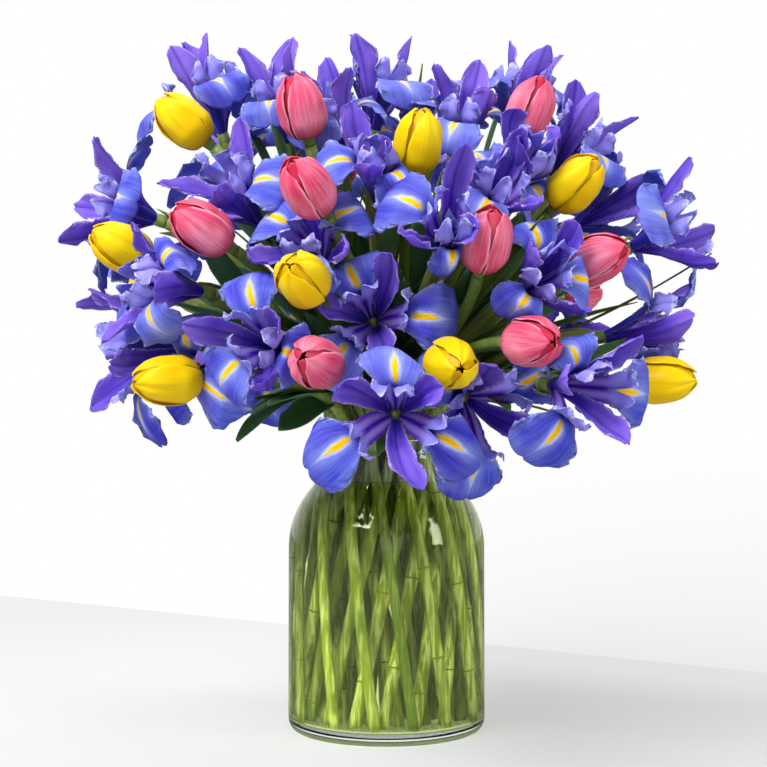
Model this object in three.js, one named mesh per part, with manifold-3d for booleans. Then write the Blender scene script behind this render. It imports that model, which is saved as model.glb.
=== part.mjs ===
// A clear glass jar of water that holds a full round bunch of blue irises with yellow and pink tulips.
// Millimetres, +Z up. The origin is the middle of the jar's foot, and the side meant to be seen first
// faces -Y. Every flower is a bloom of its own, with its petals; the stems, their sheaths and the leaves
// are one green piece, grown through a small dense heart just above the rim, where stems and leaf bases
// press together.
import * as THREE from "three";
import { mergeVertices } from "three/addons/utils/BufferGeometryUtils.js";
import Module from "manifold-3d";

const wasm = await Module();
wasm.setup();

// The jar.
const JAR_RADIUS = 72.5;
const JAR_HEIGHT = 214;
const WALL = 3.5;
const BASE_THICKNESS = 8;
const FOOT_RADIUS = 65;
const HEEL = 7;
const SHOULDER_START = 134;
const SHOULDER_RADIUS = 67;
const NECK_RADIUS = 53.3;
const NECK_START = 184;
const RIM_HEIGHT = 10;
const RIM_SWELL = 1.8;
const JAR_SIDES = 24;

// The water, clear of the glass by a hair.
const WATER_LEVEL = 183;
const GAP = 0.3;

// The stems.
const STEM_RADIUS = 4.1;
const STEM_SIDES = 5;
const STEM_FOOT = BASE_THICKNESS + 1.2;
const NECK_PASS = 200;

// The stems stand in five rings, one inside another. Each ring fans out from the neck to the jar's floor,
// and is turned the other way from the ring around it, so its stems cross behind those and touch none of
// them. sway is how far a stem's foot may stand to either side of its even place.
const STEM_RINGS = [
  { count: 14, neck: 43.2, foot: 59.5, turn: 28, sway: 7 },
  { count: 15, neck: 35, foot: 49, turn: -56, sway: 2.2 },
  { count: 13, neck: 26, foot: 38.5, turn: 60, sway: 2.2 },
  { count: 9, neck: 17, foot: 28, turn: -60, sway: 2.2 },
  { count: 5, neck: 8, foot: 17, turn: 60, sway: 2.2 },
];

// The dense heart of the bunch, as the outline that is turned about the Z axis.
const HEART = [[0, 224], [46, 224], [52, 278], [0, 278]];
const HEART_SIDES = 8;
const HEART_PASS = 246;
const HEART_DRAW = 0.9;

// A bloom starts this far above its stem's top, and has its middle this far out.
const BLOOM_BASE = 6;
const IRIS_MIDDLE = 30;

// Irises side by side are seated at different depths in the round of the bunch, so that their petals
// overlap.
const BUNCH_CENTRE = new THREE.Vector3(0, 0, 268);
const LAYERS = [12, 0, -12];
const SIDE_BY_SIDE = 90;
const TULIP_LENGTH = 45.5;
const TULIP_RADIUS = 15.2;
const TULIP_MIDDLE = 22.5;

// Blades of petals and leaves: thickness at the midline, and the room each bloom keeps to its neighbours.
const PETAL_THICKNESS = 1.4;
const LEAF_THICKNESS = 1.6;
const LEAF_START = 0.22;
const ROOM_MARGIN = 1;
const ROOM_SLACK = 12;

const COLOURS = {
  glass: { color: 0xdfeee6, roughness: 0.05, opacity: 0.35 },
  water: { color: 0xd4e6cf, roughness: 0.05, opacity: 0.4 },
  green: { color: 0x5f8a24, roughness: 0.6 },
  iris: { color: 0x5a50c4, roughness: 0.65 },
  yellow: { color: 0xf2cc0c, roughness: 0.55 },
  pink: { color: 0xe65f7c, roughness: 0.55 },
};

// Each iris: seat is where its petals join, faces is the way it looks, turn rotates it about that axis,
// splay is how far its three upright petals lean out, in degrees. Azimuth 0 of a bloom points up.
const IRISES = [
  { seat: [5, -166, 234], faces: [0, -1, 0.05], turn: 0, splay: 46 },
  { seat: [34, -150, 330], faces: [0.15, -0.93, 0.35], turn: 60, splay: 42 },
  { seat: [-68, -150, 272], faces: [-0.3, -0.95, 0.1], turn: 12, splay: 40 },
  { seat: [98, -140, 252], faces: [0.5, -0.85, -0.05], turn: 25, splay: 34 },
  { seat: [-112, -122, 309], faces: [-0.8, -0.58, 0.12], turn: 85, splay: 45 },
  { seat: [-112, -28, 424], faces: [-0.35, -0.25, 0.9], turn: 20, splay: 10 },
  { seat: [-70, -52, 424], faces: [-0.15, -0.35, 0.92], turn: 75, splay: 16 },
  { seat: [-8, -22, 426], faces: [0.03, -0.22, 0.98], turn: 85, splay: 22 },
  { seat: [-42, 30, 432], faces: [-0.15, 0.05, 1], turn: 10, splay: 18 },
  { seat: [50, -62, 408], faces: [0.12, -0.42, 0.9], turn: 30, splay: 22 },
  { seat: [88, 0, 426], faces: [0.25, -0.1, 0.95], turn: 55, splay: 16 },
  { seat: [126, -48, 408], faces: [0.5, -0.25, 0.82], turn: 25, splay: 24 },
  { seat: [138, 10, 372], faces: [0.82, 0, 0.55], turn: 40, splay: 30 },
  { seat: [160, -62, 344], faces: [0.92, -0.28, 0.25], turn: 80, splay: 48 },
  { seat: [150, -72, 286], faces: [0.95, -0.3, 0.02], turn: 35, splay: 50 },
  { seat: [86, -134, 310], faces: [0.4, -0.85, 0.3], turn: 15, splay: 40 },
  { seat: [-164, -42, 372], faces: [-0.93, -0.2, 0.3], turn: 30, splay: 42 },
  { seat: [-142, -92, 276], faces: [-0.93, -0.35, -0.05], turn: 70, splay: 48 },
  { seat: [-116, -128, 262], faces: [-0.5, -0.8, -0.12], turn: 0, splay: 34 },
  { seat: [-92, -104, 368], faces: [-0.5, -0.65, 0.55], turn: 35, splay: 34 },
  { seat: [-6, -122, 372], faces: [0, -0.75, 0.65], turn: 100, splay: 34 },
  { seat: [66, -118, 368], faces: [0.35, -0.75, 0.58], turn: 20, splay: 36 },
  { seat: [-46, -136, 335], faces: [-0.2, -0.85, 0.45], turn: 62, splay: 46 },
  { seat: [-10, -138, 294], faces: [-0.05, -0.98, 0.12], turn: 25, splay: 38 },
  { seat: [-36, -62, 420], faces: [-0.1, -0.4, 0.9], turn: 50, splay: 20 },
  { seat: [78, -84, 374], faces: [0.3, -0.8, 0.5], turn: 75, splay: 44 },
  { seat: [54, -130, 242], faces: [0.3, -0.92, -0.25], turn: 60, splay: 36 },
  { seat: [-104, 55, 400], faces: [-0.55, 0.4, 0.75], turn: 10, splay: 28 },
  { seat: [30, 66, 426], faces: [0.15, 0.5, 0.85], turn: 50, splay: 26 },
  { seat: [104, 92, 372], faces: [0.6, 0.6, 0.5], turn: 0, splay: 36 },
  { seat: [-152, 40, 318], faces: [-0.9, 0.35, 0.2], turn: 60, splay: 44 },
  { seat: [-48, 118, 372], faces: [-0.3, 0.75, 0.6], turn: 30, splay: 38 },
  { seat: [34, 142, 330], faces: [0.2, 0.9, 0.35], turn: 70, splay: 44 },
  { seat: [122, 100, 290], faces: [0.75, 0.65, 0.1], turn: 20, splay: 46 },
  { seat: [-86, 128, 284], faces: [-0.5, 0.85, 0.1], turn: 45, splay: 46 },
];

// Each tulip: seat is the base of the cup, faces is the way it points.
const TULIPS = [
  { colour: "yellow", seat: [-126, -72, 423], faces: [-0.75, -0.2, 0.65] },
  { colour: "yellow", seat: [17, -130, 391], faces: [0.15, -0.52, 0.84] },
  { colour: "yellow", seat: [114, -105, 373], faces: [0.58, -0.53, 0.62] },
  { colour: "yellow", seat: [-159, -110, 334], faces: [-0.8, -0.42, 0.42] },
  { colour: "yellow", seat: [-46, -182, 308], faces: [-0.28, -0.92, 0.27] },
  { colour: "yellow", seat: [-120, -152, 254], faces: [-0.91, -0.4, -0.04] },
  { colour: "yellow", seat: [35, -180, 265], faces: [0.2, -0.96, -0.14] },
  { colour: "yellow", seat: [166, -100, 254], faces: [0.9, -0.42, 0.03] },
  { colour: "pink", seat: [-53, -110, 419], faces: [-0.2, -0.5, 0.84] },
  { colour: "pink", seat: [-41, -165, 361], faces: [-0.43, -0.68, 0.59] },
  { colour: "pink", seat: [-103, -148, 341], faces: [-0.72, -0.5, 0.47] },
  { colour: "pink", seat: [92, -80, 424], faces: [0.33, -0.4, 0.86] },
  { colour: "pink", seat: [59, -168, 324], faces: [0.15, -0.65, 0.74] },
  { colour: "pink", seat: [120, -125, 326], faces: [0.78, -0.5, 0.33] },
  { colour: "pink", seat: [-37, -184, 260], faces: [-0.3, -0.94, 0.12] },
  { colour: "pink", seat: [79, -172, 277], faces: [0.5, -0.85, -0.05] },
  { colour: "yellow", seat: [-10, 160, 300], faces: [0, 0.98, 0.15] },
  { colour: "pink", seat: [-100, 118, 338], faces: [-0.6, 0.7, 0.4] },
  { colour: "yellow", seat: [78, 138, 346], faces: [0.4, 0.8, 0.45] },
  { colour: "pink", seat: [-36, 84, 420], faces: [-0.2, 0.5, 0.85] },
  { colour: "pink", seat: [142, 92, 328], faces: [0.75, 0.6, 0.25] },
];

// Leaves that stand out between the blooms: the tip, the greatest width, and how far the middle bows aside.
const LEAVES = [
  { tip: [230, -60, 346], width: 8, bow: [-6, -10, -20] },
  { tip: [98, -178, 356], width: 10, bow: [-8, 4, -10] },
  { tip: [110, -146, 354], width: 10, bow: [-10, 4, -12] },
  { tip: [-100, -118, 214], width: 22, bow: [-4, -6, 14] },
  { tip: [-24, -152, 262], width: 28, bow: [-10, -8, 4] },
  { tip: [50, -148, 262], width: 26, bow: [8, -6, 4] },
  { tip: [-70, -146, 320], width: 20, bow: [0, 0, 14] },
  { tip: [26, -40, 486], width: 12, bow: [6, -8, 0] },
  { tip: [-112, 122, 236], width: 26, bow: [0, 0, 16] },
  { tip: [66, 140, 246], width: 28, bow: [0, 0, 16] },
  { tip: [-14, 146, 350], width: 24, bow: [0, 8, 0] },
  { tip: [158, 58, 252], width: 26, bow: [0, 0, 14] },
  { tip: [-62, -98, 366], width: 28, bow: [-8, -6, 0] },
  { tip: [26, -104, 372], width: 30, bow: [0, -10, 0] },
  { tip: [92, -78, 350], width: 28, bow: [8, -4, 0] },
  { tip: [-112, -60, 340], width: 28, bow: [-6, -4, 4] },
  { tip: [-72, 92, 366], width: 30, bow: [-6, 6, 0] },
  { tip: [44, 100, 382], width: 30, bow: [4, 8, 0] },
  { tip: [-146, 70, 262], width: 26, bow: [0, 0, 14] },
];

const up = new THREE.Vector3(0, 0, 1);
const TUBE_SIDE = new THREE.Vector3(-0.42, 1, 0.1);
const vector = ([x, y, z]) => new THREE.Vector3(x, y, z);
const radians = THREE.MathUtils.degToRad;
const mix = THREE.MathUtils.lerp;

// A number from 0 to 1, always the same one for the same whole number.
function chance(n) {
  const x = Math.sin(n * 12.9898 + 4.1414) * 4375.8545;
  return x - Math.floor(x);
}

// Straight-line reading of [place, value] pairs, as used for every outline and bend.
function read(knots, place) {
  let i = 1;
  while (i < knots.length - 1 && knots[i][0] < place) i++;
  const [a, b] = [knots[i - 1], knots[i]];
  return mix(a[1], b[1], THREE.MathUtils.clamp((place - a[0]) / (b[0] - a[0]), 0, 1));
}

function solidFromArrays(points, triangles) {
  return new wasm.Manifold(
    new wasm.Mesh({
      numProp: 3,
      vertProperties: Float32Array.from(points.flatMap((p) => [p.x, p.y, p.z])),
      triVerts: Uint32Array.from(triangles.flat()),
    }),
  );
}

function solidFromGeometry(geometry) {
  geometry.deleteAttribute("normal");
  geometry.deleteAttribute("uv");
  const merged = mergeVertices(geometry, 1e-3);
  const index = merged.index.array;
  const kept = [];
  for (let i = 0; i < index.length; i += 3) {
    const [a, b, c] = index.slice(i, i + 3);
    if (a !== b && b !== c && c !== a) kept.push([a, b, c]);
  }
  const place = merged.getAttribute("position");
  const point = (_, i) => new THREE.Vector3().fromBufferAttribute(place, i);
  return solidFromArrays(Array.from({ length: place.count }, point), kept);
}

function geometryFrom(solid) {
  const mesh = solid.getMesh();
  const geometry = new THREE.BufferGeometry();
  const positions = new Float32Array(mesh.numVert * 3);
  for (let i = 0; i < mesh.numVert; i++)
    positions.set(mesh.vertProperties.subarray(i * mesh.numProp, i * mesh.numProp + 3), i * 3);
  geometry.setAttribute("position", new THREE.BufferAttribute(positions, 3));
  geometry.setIndex(new THREE.BufferAttribute(mesh.triVerts, 1));
  geometry.computeVertexNormals();
  return geometry;
}

// The largest single body of a solid: what a cut leaves loose is dropped.
function largest(solid) {
  return solid.decompose().reduce((a, b) => (a.volume() > b.volume() ? a : b));
}

// Two boxes of space that come within reach of each other.
function near(a, b) {
  const [p, q] = [a.boundingBox(), b.boundingBox()];
  return [0, 1, 2].every((k) => p.min[k] < q.max[k] && q.min[k] < p.max[k]);
}

// Revolves a profile of [radius, height] pairs about the Z axis.
function turned(profile, sides) {
  const lathe = new THREE.LatheGeometry(profile.map(([r, z]) => new THREE.Vector2(r, z)), sides);
  lathe.rotateX(Math.PI / 2);
  return solidFromGeometry(lathe);
}

// The jar's outline at a distance in from its outer surface, from the shoulder's foot to the neck.
function shoulder(inset) {
  const centre = JAR_RADIUS - SHOULDER_RADIUS;
  return [12, 24, 35].map((degrees) => [
    centre + (SHOULDER_RADIUS - inset) * Math.cos(radians(degrees)),
    SHOULDER_START + (SHOULDER_RADIUS - inset) * Math.sin(radians(degrees)),
  ]);
}

function jar() {
  const rimFoot = JAR_HEIGHT - RIM_HEIGHT;
  const outer = [
    [0, 0],
    [FOOT_RADIUS, 0],
    [JAR_RADIUS - 2, 2],
    [JAR_RADIUS, HEEL],
    [JAR_RADIUS, SHOULDER_START],
    ...shoulder(0),
    [NECK_RADIUS, NECK_START],
    [NECK_RADIUS, rimFoot],
    [NECK_RADIUS + RIM_SWELL, rimFoot + 2],
    [NECK_RADIUS + RIM_SWELL, JAR_HEIGHT - 2],
    [NECK_RADIUS, JAR_HEIGHT],
  ];
  const inner = [
    [NECK_RADIUS - WALL + 1, JAR_HEIGHT],
    [NECK_RADIUS - WALL, JAR_HEIGHT - 2],
    [NECK_RADIUS - WALL, NECK_START - 1],
    ...shoulder(WALL).reverse(),
    [JAR_RADIUS - WALL, SHOULDER_START],
    [JAR_RADIUS - WALL, BASE_THICKNESS + HEEL],
    [FOOT_RADIUS - 1, BASE_THICKNESS],
    [0, BASE_THICKNESS],
  ];
  return turned([...outer, ...inner], JAR_SIDES);
}

function water() {
  const inset = WALL + GAP;
  const neck = NECK_RADIUS - inset;
  return turned(
    [
      [0, BASE_THICKNESS + GAP],
      [FOOT_RADIUS - 1 - GAP, BASE_THICKNESS + GAP],
      [JAR_RADIUS - inset, BASE_THICKNESS + HEEL],
      [JAR_RADIUS - inset, SHOULDER_START],
      ...shoulder(inset),
      [neck, WATER_LEVEL],
      [0, WATER_LEVEL],
    ],
    JAR_SIDES,
  );
}

// A bloom's own axes: z out of the stem, x as near up as that allows, and y to the left of a viewer that
// it faces.
function frameOf(flower, out) {
  const z = vector(flower.faces).normalize();
  const x = up.clone().addScaledVector(z, -up.dot(z)).normalize();
  const y = new THREE.Vector3().crossVectors(z, x);
  const seat = vector(flower.seat);
  return { x, y, z, seat, middle: seat.clone().addScaledVector(z, out) };
}

// Seats each iris in the layer that is furthest from the layers of its neighbours.
function layered(irises) {
  const done = [];
  for (const flower of irises) {
    const seat = vector(flower.seat);
    const neighbours = done.filter((other) => other.first.distanceTo(seat) < SIDE_BY_SIDE);
    const clash = (layer) =>
      neighbours
        .filter((other) => other.layer === layer)
        .reduce((sum, other) => sum + SIDE_BY_SIDE - other.first.distanceTo(seat), 0);
    const layer = LAYERS.reduce((best, next) => (clash(next) < clash(best) ? next : best));
    const out = seat.clone().sub(BUNCH_CENTRE).setLength(layer);
    done.push({ ...flower, first: seat, layer, seat: seat.clone().add(out).toArray() });
  }
  return done;
}

// A point of a bloom from its radial distance, azimuth (radians), height, and sideways shift.
function placed(frame, radial, azimuth, height, sideways) {
  const [c, s] = [Math.cos(azimuth), Math.sin(azimuth)];
  return frame.seat
    .clone()
    .addScaledVector(frame.x, radial * c - sideways * s)
    .addScaledVector(frame.y, radial * s + sideways * c)
    .addScaledVector(frame.z, height);
}

// The half-spaces that keep a bloom clear of its neighbours: halfway to another iris, and just short of a
// tulip.
function roomOf(index, flowers) {
  const own = flowers[index];
  return flowers.flatMap((other, i) => {
    if (i === index) return [];
    const normal = other.frame.middle.clone().sub(own.frame.middle);
    const apart = normal.length();
    normal.divideScalar(apart);
    let reach = apart / 2;
    if (other.tulip) {
      const along = Math.abs(normal.dot(other.frame.z));
      const across = Math.sqrt(1 - along * along);
      reach = apart - Math.hypot(1.11 * TULIP_RADIUS * across, 0.55 * TULIP_LENGTH * along) - GAP;
    }
    return [{ normal, reach: reach - ROOM_MARGIN }];
  });
}

// How far a point lies outside a bloom's room.
function outside(point, middle, room) {
  const away = point.clone().sub(middle);
  return Math.max(...room.map(({ normal, reach }) => away.dot(normal) - reach));
}

// Draws a point straight towards the bloom's middle until it is in the bloom's own room.
function drawnIn(point, middle, room) {
  const away = point.clone().sub(middle);
  const share = room.reduce((least, { normal, reach }) => {
    const out = away.dot(normal);
    return out > reach ? Math.min(least, Math.max(reach, 0) / out) : least;
  }, 1);
  return middle.clone().addScaledVector(away, share);
}

// The three kinds of iris petal. open and shut are how it bends from the bloom's axis, in degrees; lean is
// the same for an upright petal, as a share of the flower's splay; half is half the width; cup lifts the
// edges; wedge keeps a petal narrow near the axis, where the others are close; horns end a petal in two.
// An arm stays above its fall.
const FALL = {
  start: [3, 0],
  length: 84,
  stations: [0.42, 0.6, 0.82, 1],
  open: [[0, 32], [0.45, 50], [0.6, 88], [0.8, 122], [1, 150]],
  shut: [[0, 10], [0.45, 20], [0.6, 90], [0.8, 160], [1, 178]],
  half: [[0, 3], [0.42, 7.5], [0.6, 18], [0.82, 22], [1, 10]],
  cup: [[0, 0.5], [0.42, 0.35], [0.6, -0.1], [1, -0.3]],
  wedge: 0.6,
  horns: 0,
};
const STANDARD = {
  start: [3, 1],
  length: 74,
  stations: [0.36, 0.72, 1],
  lean: [[0, 0.45], [0.36, 1], [1, 0.75]],
  half: [[0, 2.8], [0.36, 9.5], [0.72, 14.5], [1, 0]],
  cup: [[0, 0.2], [1, 0.25]],
  wedge: 0.45,
  horns: 0,
};
const STYLE = {
  start: [1.5, 4],
  length: 48,
  stations: [0.45, 1],
  open: [[0, 26], [0.45, 42], [0.8, 46], [1, 10]],
  shut: [[0, 6], [0.45, 14], [0.8, 20], [1, -20]],
  half: [[0, 4], [0.45, 10], [1, 11.5]],
  cup: [[0, -0.2], [0.45, -0.25], [1, -0.1]],
  wedge: 0.6,
  horns: 8,
};
const WEDGE_HEIGHT = 34;

// The sections of one petal past its root, each a left edge, a middle and a right edge, along a path that
// bends away from the axis.
function petalSections(kind, azimuth, bendAt, long, twist) {
  const step = 1 / 50;
  const sections = [];
  let [radial, height, walked] = [...kind.start, 0];
  for (const station of kind.stations) {
    for (; walked < station - 1e-6; walked += step) {
      const bend = radians(bendAt(walked + step / 2));
      radial += kind.length * long * step * Math.sin(bend);
      height += kind.length * long * step * Math.cos(bend);
    }
    const bend = radians(bendAt(station));
    const widest = height < WEDGE_HEIGHT ? kind.wedge * radial : Infinity;
    const half = Math.min(read(kind.half, station), widest);
    const lift = half * read(kind.cup, station);
    const roll = radians(twist * station);
    const horn = station === 1 ? kind.horns : 0;
    const edge = (side) => {
      const across = side * half * Math.cos(roll) - lift * Math.sin(roll);
      const inward = side * half * Math.sin(roll) + lift * Math.cos(roll);
      return [
        radial - inward * Math.cos(bend) + horn * Math.sin(bend),
        azimuth,
        height + inward * Math.sin(bend) + horn * Math.cos(bend),
        across,
      ];
    };
    sections.push([edge(1), [radial, azimuth, height, 0], edge(-1)]);
  }
  return sections;
}

// Adds a thin blade to a mesh: from a root of four of its points (left, top, right, bottom) through
// sections of three points, thickest at the midline and keen at the edges. Both faces are split into
// triangles alike.
function growBlade(mesh, root, sections, thickness) {
  const { points, triangles } = mesh;
  const last = sections.length - 1;
  let [l, t, r, b] = root;
  sections.forEach(([left, middle, right], i) => {
    const before = i > 0 ? sections[i - 1][1] : points[t].clone().lerp(points[b], 0.5);
    const along = sections[Math.min(i + 1, last)][1].clone().sub(before);
    const normal = right.clone().sub(left).cross(along).normalize();
    const first = points.length;
    if (i < last) {
      const [L, T, R, B] = [first, first + 1, first + 2, first + 3];
      points.push(
        left,
        middle.clone().addScaledVector(normal, thickness / 2),
        right,
        middle.clone().addScaledVector(normal, -thickness / 2),
      );
      triangles.push([l, t, T], [l, T, L], [t, r, T], [r, R, T], [l, B, b], [l, L, B], [b, B, r], [r, B, R]);
      [l, t, r, b] = [L, T, R, B];
    } else if (left.distanceTo(right) < 1e-3) {
      points.push(middle);
      triangles.push([l, t, first], [t, r, first], [l, first, b], [b, first, r]);
    } else {
      const [L, T, R] = [first, first + 1, first + 2];
      points.push(left, middle, right);
      triangles.push([l, t, T], [l, T, L], [t, r, T], [r, R, T], [l, T, b], [l, L, T], [b, T, r], [r, T, R]);
    }
  });
}

// One petal of an iris, drawn closer to the flower's axis, and then shortened, until little of it is
// outside the flower's own room. That little is then pressed in. The petal is drawn in at least as far as
// least says.
function fittedPetal(flower, kind, azimuth, bends, twist, least) {
  const { frame, room } = flower;
  let sections;
  let drawn;
  search: for (const long of [1, 0.9, 0.8, 0.7, 0.6])
    for (const close of [0, 0.15, 0.3, 0.45, 0.6, 0.75, 0.9, 1].filter((share) => share >= least)) {
      const bendAt = (place) => mix(bends.open(place), bends.shut(place), close);
      drawn = close;
      sections = petalSections(kind, azimuth, bendAt, long, twist).map((section) =>
        section.map((place) => placed(frame, ...place)),
      );
      if (sections.flat().every((point) => outside(point, frame.middle, room) <= ROOM_SLACK)) break search;
    }
  const pressed = sections.map((section) => section.map((point) => drawnIn(point, frame.middle, room)));
  return { drawn, sections: pressed };
}

// The small base that carries the petals of an iris. Around it are six roots, falls and standards by
// turns, each between two of the shared edge points; above every fall is the root of a style arm, and the
// three meet at the top.
function irisBase(frame, turn) {
  const points = [];
  const ring = (count, step, offset, radius, height) => {
    const first = points.length;
    for (let k = 0; k < count; k++)
      points.push(placed(frame, radius, turn + radians(k * step + offset), height, 0));
    return (k) => first + ((k + count) % count);
  };
  const foot = ring(6, 60, 30, 4.6, -BLOOM_BASE);
  const edge = ring(6, 60, 30, 5.6, 0);
  const under = ring(6, 60, 0, 6, -1.5);
  const over = ring(6, 60, 0, 4.6, 2.5);
  const armEdge = ring(3, 120, 60, 2.4, 6.5);
  const armUnder = ring(3, 120, 0, 3.2, 5);
  const crown = points.push(placed(frame, 0, 0, 9, 0)) - 1;
  const triangles = [];
  for (let k = 1; k < 5; k++) triangles.push([foot(0), foot(k + 1), foot(k)]);
  for (let k = 0; k < 6; k++)
    triangles.push(
      [foot(k - 1), foot(k), under(k)],
      [foot(k), edge(k), under(k)],
      [foot(k - 1), under(k), edge(k - 1)],
    );
  for (let j = 0; j < 3; j++) {
    const [fall, standard, next] = [2 * j, 2 * j + 1, 2 * j + 2];
    triangles.push(
      [over(fall), edge(fall), armUnder(j)],
      [edge(fall), over(standard), armEdge(j)],
      [edge(fall), armEdge(j), armUnder(j)],
      [over(standard), edge(standard), armEdge(j)],
      [edge(standard), over(next), armUnder(j + 1)],
      [edge(standard), armUnder(j + 1), armEdge(j)],
    );
  }
  const roots = (k) => [edge(k), over(k), edge(k - 1), under(k)];
  const armRoots = (j) => [armEdge(j), crown, armEdge(j - 1), armUnder(j)];
  return { points, triangles, roots, armRoots };
}

function iris(flower) {
  const { frame, splay, index } = flower;
  const turn = radians(flower.turn);
  const mesh = irisBase(frame, turn);
  const lean = (share) => (place) => splay * share * read(STANDARD.lean, place);
  for (let j = 0; j < 3; j++) {
    const azimuth = turn + (j * 2 * Math.PI) / 3;
    const sway = (chance(index * 9 + j) - 0.5) * 12;
    const twist = (chance(index * 9 + j + 3) - 0.5) * 70;
    const swayed = ({ open, shut }) => ({
      open: (place) => read(open, place) + sway * place,
      shut: (place) => read(shut, place),
    });
    const upright = { open: lean(1), shut: lean(0.2) };
    const fall = fittedPetal(flower, FALL, azimuth, swayed(FALL), 0, 0);
    const arm = fittedPetal(flower, STYLE, azimuth, swayed(STYLE), 0, fall.drawn);
    const standard = fittedPetal(flower, STANDARD, azimuth + Math.PI / 3, upright, twist, 0);
    growBlade(mesh, mesh.roots(2 * j), fall.sections, PETAL_THICKNESS);
    growBlade(mesh, mesh.armRoots(j), arm.sections, PETAL_THICKNESS);
    growBlade(mesh, mesh.roots(2 * j + 1), standard.sections, PETAL_THICKNESS);
  }
  return solidFromArrays(mesh.points, mesh.triangles);
}

// A closed tulip cup: three outer petals stand proud of three inner ones, and all six tips part at the
// mouth.
function tulip({ frame }) {
  const columns = 12;
  const rings = [
    { height: 0.04, radius: 0.5, proud: 0, spread: 1 },
    { height: 0.26, radius: 0.95, proud: 0.05, spread: 1 },
    { height: 0.58, radius: 0.99, proud: 0.07, spread: 0.9 },
    { height: 0.82, radius: 0.74, proud: 0.1, spread: 0.6 },
    { height: 0.97, radius: 0.38, proud: 0.12, spread: 0.3 },
  ];
  const points = [placed(frame, 0, 0, -BLOOM_BASE, 0)];
  const triangles = [];
  rings.forEach(({ height, radius, proud, spread }, ring) => {
    for (let k = 0; k < columns; k++) {
      const role = k % 4;
      const middle = ((k - role + 1) * 2 * Math.PI) / columns;
      const side = role === 3 ? 0 : role - 1;
      const azimuth = role === 3 ? middle + Math.PI / 3 : middle + side * spread * 0.82 * (Math.PI / 3);
      const lift = role === 3 ? -proud : proud;
      const tip = ring === rings.length - 1 ? (role === 1 || role === 3 ? 0.03 : -0.06) : 0;
      points.push(
        placed(frame, TULIP_RADIUS * (radius + lift), azimuth, TULIP_LENGTH * (height + tip), 0),
      );
    }
  });
  points.push(placed(frame, 0, 0, TULIP_LENGTH * 0.86, 0));
  const top = points.length - 1;
  for (let k = 0; k < columns; k++) {
    const next = (k + 1) % columns;
    triangles.push([0, 1 + next, 1 + k]);
    for (let ring = 0; ring < rings.length - 1; ring++) {
      const [a, b] = [1 + ring * columns, 1 + (ring + 1) * columns];
      triangles.push([a + k, a + next, b + next], [a + k, b + next, b + k]);
    }
    const rim = 1 + (rings.length - 1) * columns;
    triangles.push([rim + k, rim + next, top]);
  }
  return solidFromArrays(points, triangles);
}

// A many-sided tube through points. The first ring is square to facing, and extra widens it all round.
function tube(path, radii, facing, extra) {
  const last = path.length - 1;
  const points = [];
  const triangles = [];
  path.forEach((point, i) => {
    const next = Math.min(i, last - 1);
    const along = i === 0 ? facing.clone() : path[next + 1].clone().sub(path[next]).normalize();
    if (i === 1) along.add(point.clone().sub(path[0]).normalize()).normalize();
    const side = along.clone().cross(TUBE_SIDE).normalize();
    const other = new THREE.Vector3().crossVectors(along, side);
    for (let k = 0; k < STEM_SIDES; k++) {
      const angle = (k * 2 * Math.PI) / STEM_SIDES;
      points.push(
        point
          .clone()
          .addScaledVector(side, (radii[i] + extra) * Math.cos(angle))
          .addScaledVector(other, (radii[i] + extra) * Math.sin(angle)),
      );
    }
  });
  for (let k = 1; k < STEM_SIDES - 1; k++)
    triangles.push([0, k + 1, k], [last * STEM_SIDES, last * STEM_SIDES + k, last * STEM_SIDES + k + 1]);
  for (let i = 0; i < last; i++)
    for (let k = 0; k < STEM_SIDES; k++) {
      const [a, b] = [i * STEM_SIDES, (i + 1) * STEM_SIDES];
      const next = (k + 1) % STEM_SIDES;
      triangles.push([a + k, a + next, b + next], [a + k, b + next, b + k]);
    }
  return solidFromArrays(points, triangles);
}

// Places for the stems in the neck, each with its foot on the jar's floor.
function stemPlaces() {
  const around = (radius, angle) => new THREE.Vector2(radius * Math.cos(angle), radius * Math.sin(angle));
  return STEM_RINGS.flatMap(({ count, neck, foot, turn, sway }, ring) =>
    Array.from({ length: count }, (_, k) => {
      const angle = ((k + 0.5 * ring) * 2 * Math.PI) / count;
      const aside = ((chance(ring * 40 + k) * 2 - 1) * sway) / foot;
      return { neck: around(neck, angle), foot: around(foot, angle + radians(turn) + aside) };
    }),
  );
}

// Gives each bloom a stem: those that lean out the most choose first, each the free place nearest to where
// it leans.
function shareOut(flowers, places) {
  const free = [...places];
  const lean = ({ frame }) =>
    Math.atan2(Math.hypot(frame.seat.x, frame.seat.y), Math.max(frame.seat.z - NECK_PASS, 1));
  const order = [...flowers].sort((a, b) => lean(b) - lean(a));
  const chosen = new Map();
  for (const flower of order) {
    const { x, y } = flower.frame.seat;
    const wanted = new THREE.Vector2(x, y).setLength((STEM_RINGS[0].neck * lean(flower)) / (Math.PI / 2.4));
    const distances = free.map(({ neck }) => neck.distanceTo(wanted));
    chosen.set(flower, free.splice(distances.indexOf(Math.min(...distances)), 1)[0]);
  }
  return flowers.map((flower) => chosen.get(flower));
}

// A stem's line, from just under its bloom, through the heart and the neck, down to the floor of the jar.
function stemLine({ frame }, { neck, foot }) {
  return [
    frame.seat.clone().addScaledVector(frame.z, -BLOOM_BASE - GAP),
    new THREE.Vector3(neck.x * HEART_DRAW, neck.y * HEART_DRAW, HEART_PASS),
    new THREE.Vector3(neck.x, neck.y, NECK_PASS),
    new THREE.Vector3(foot.x, foot.y, STEM_FOOT),
  ];
}

const heart = (extra) => turned(
  HEART.map(([radius, height], i) => [radius && radius + extra, height + (i < 2 ? -extra : extra)]),
  HEART_SIDES,
);

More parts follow.
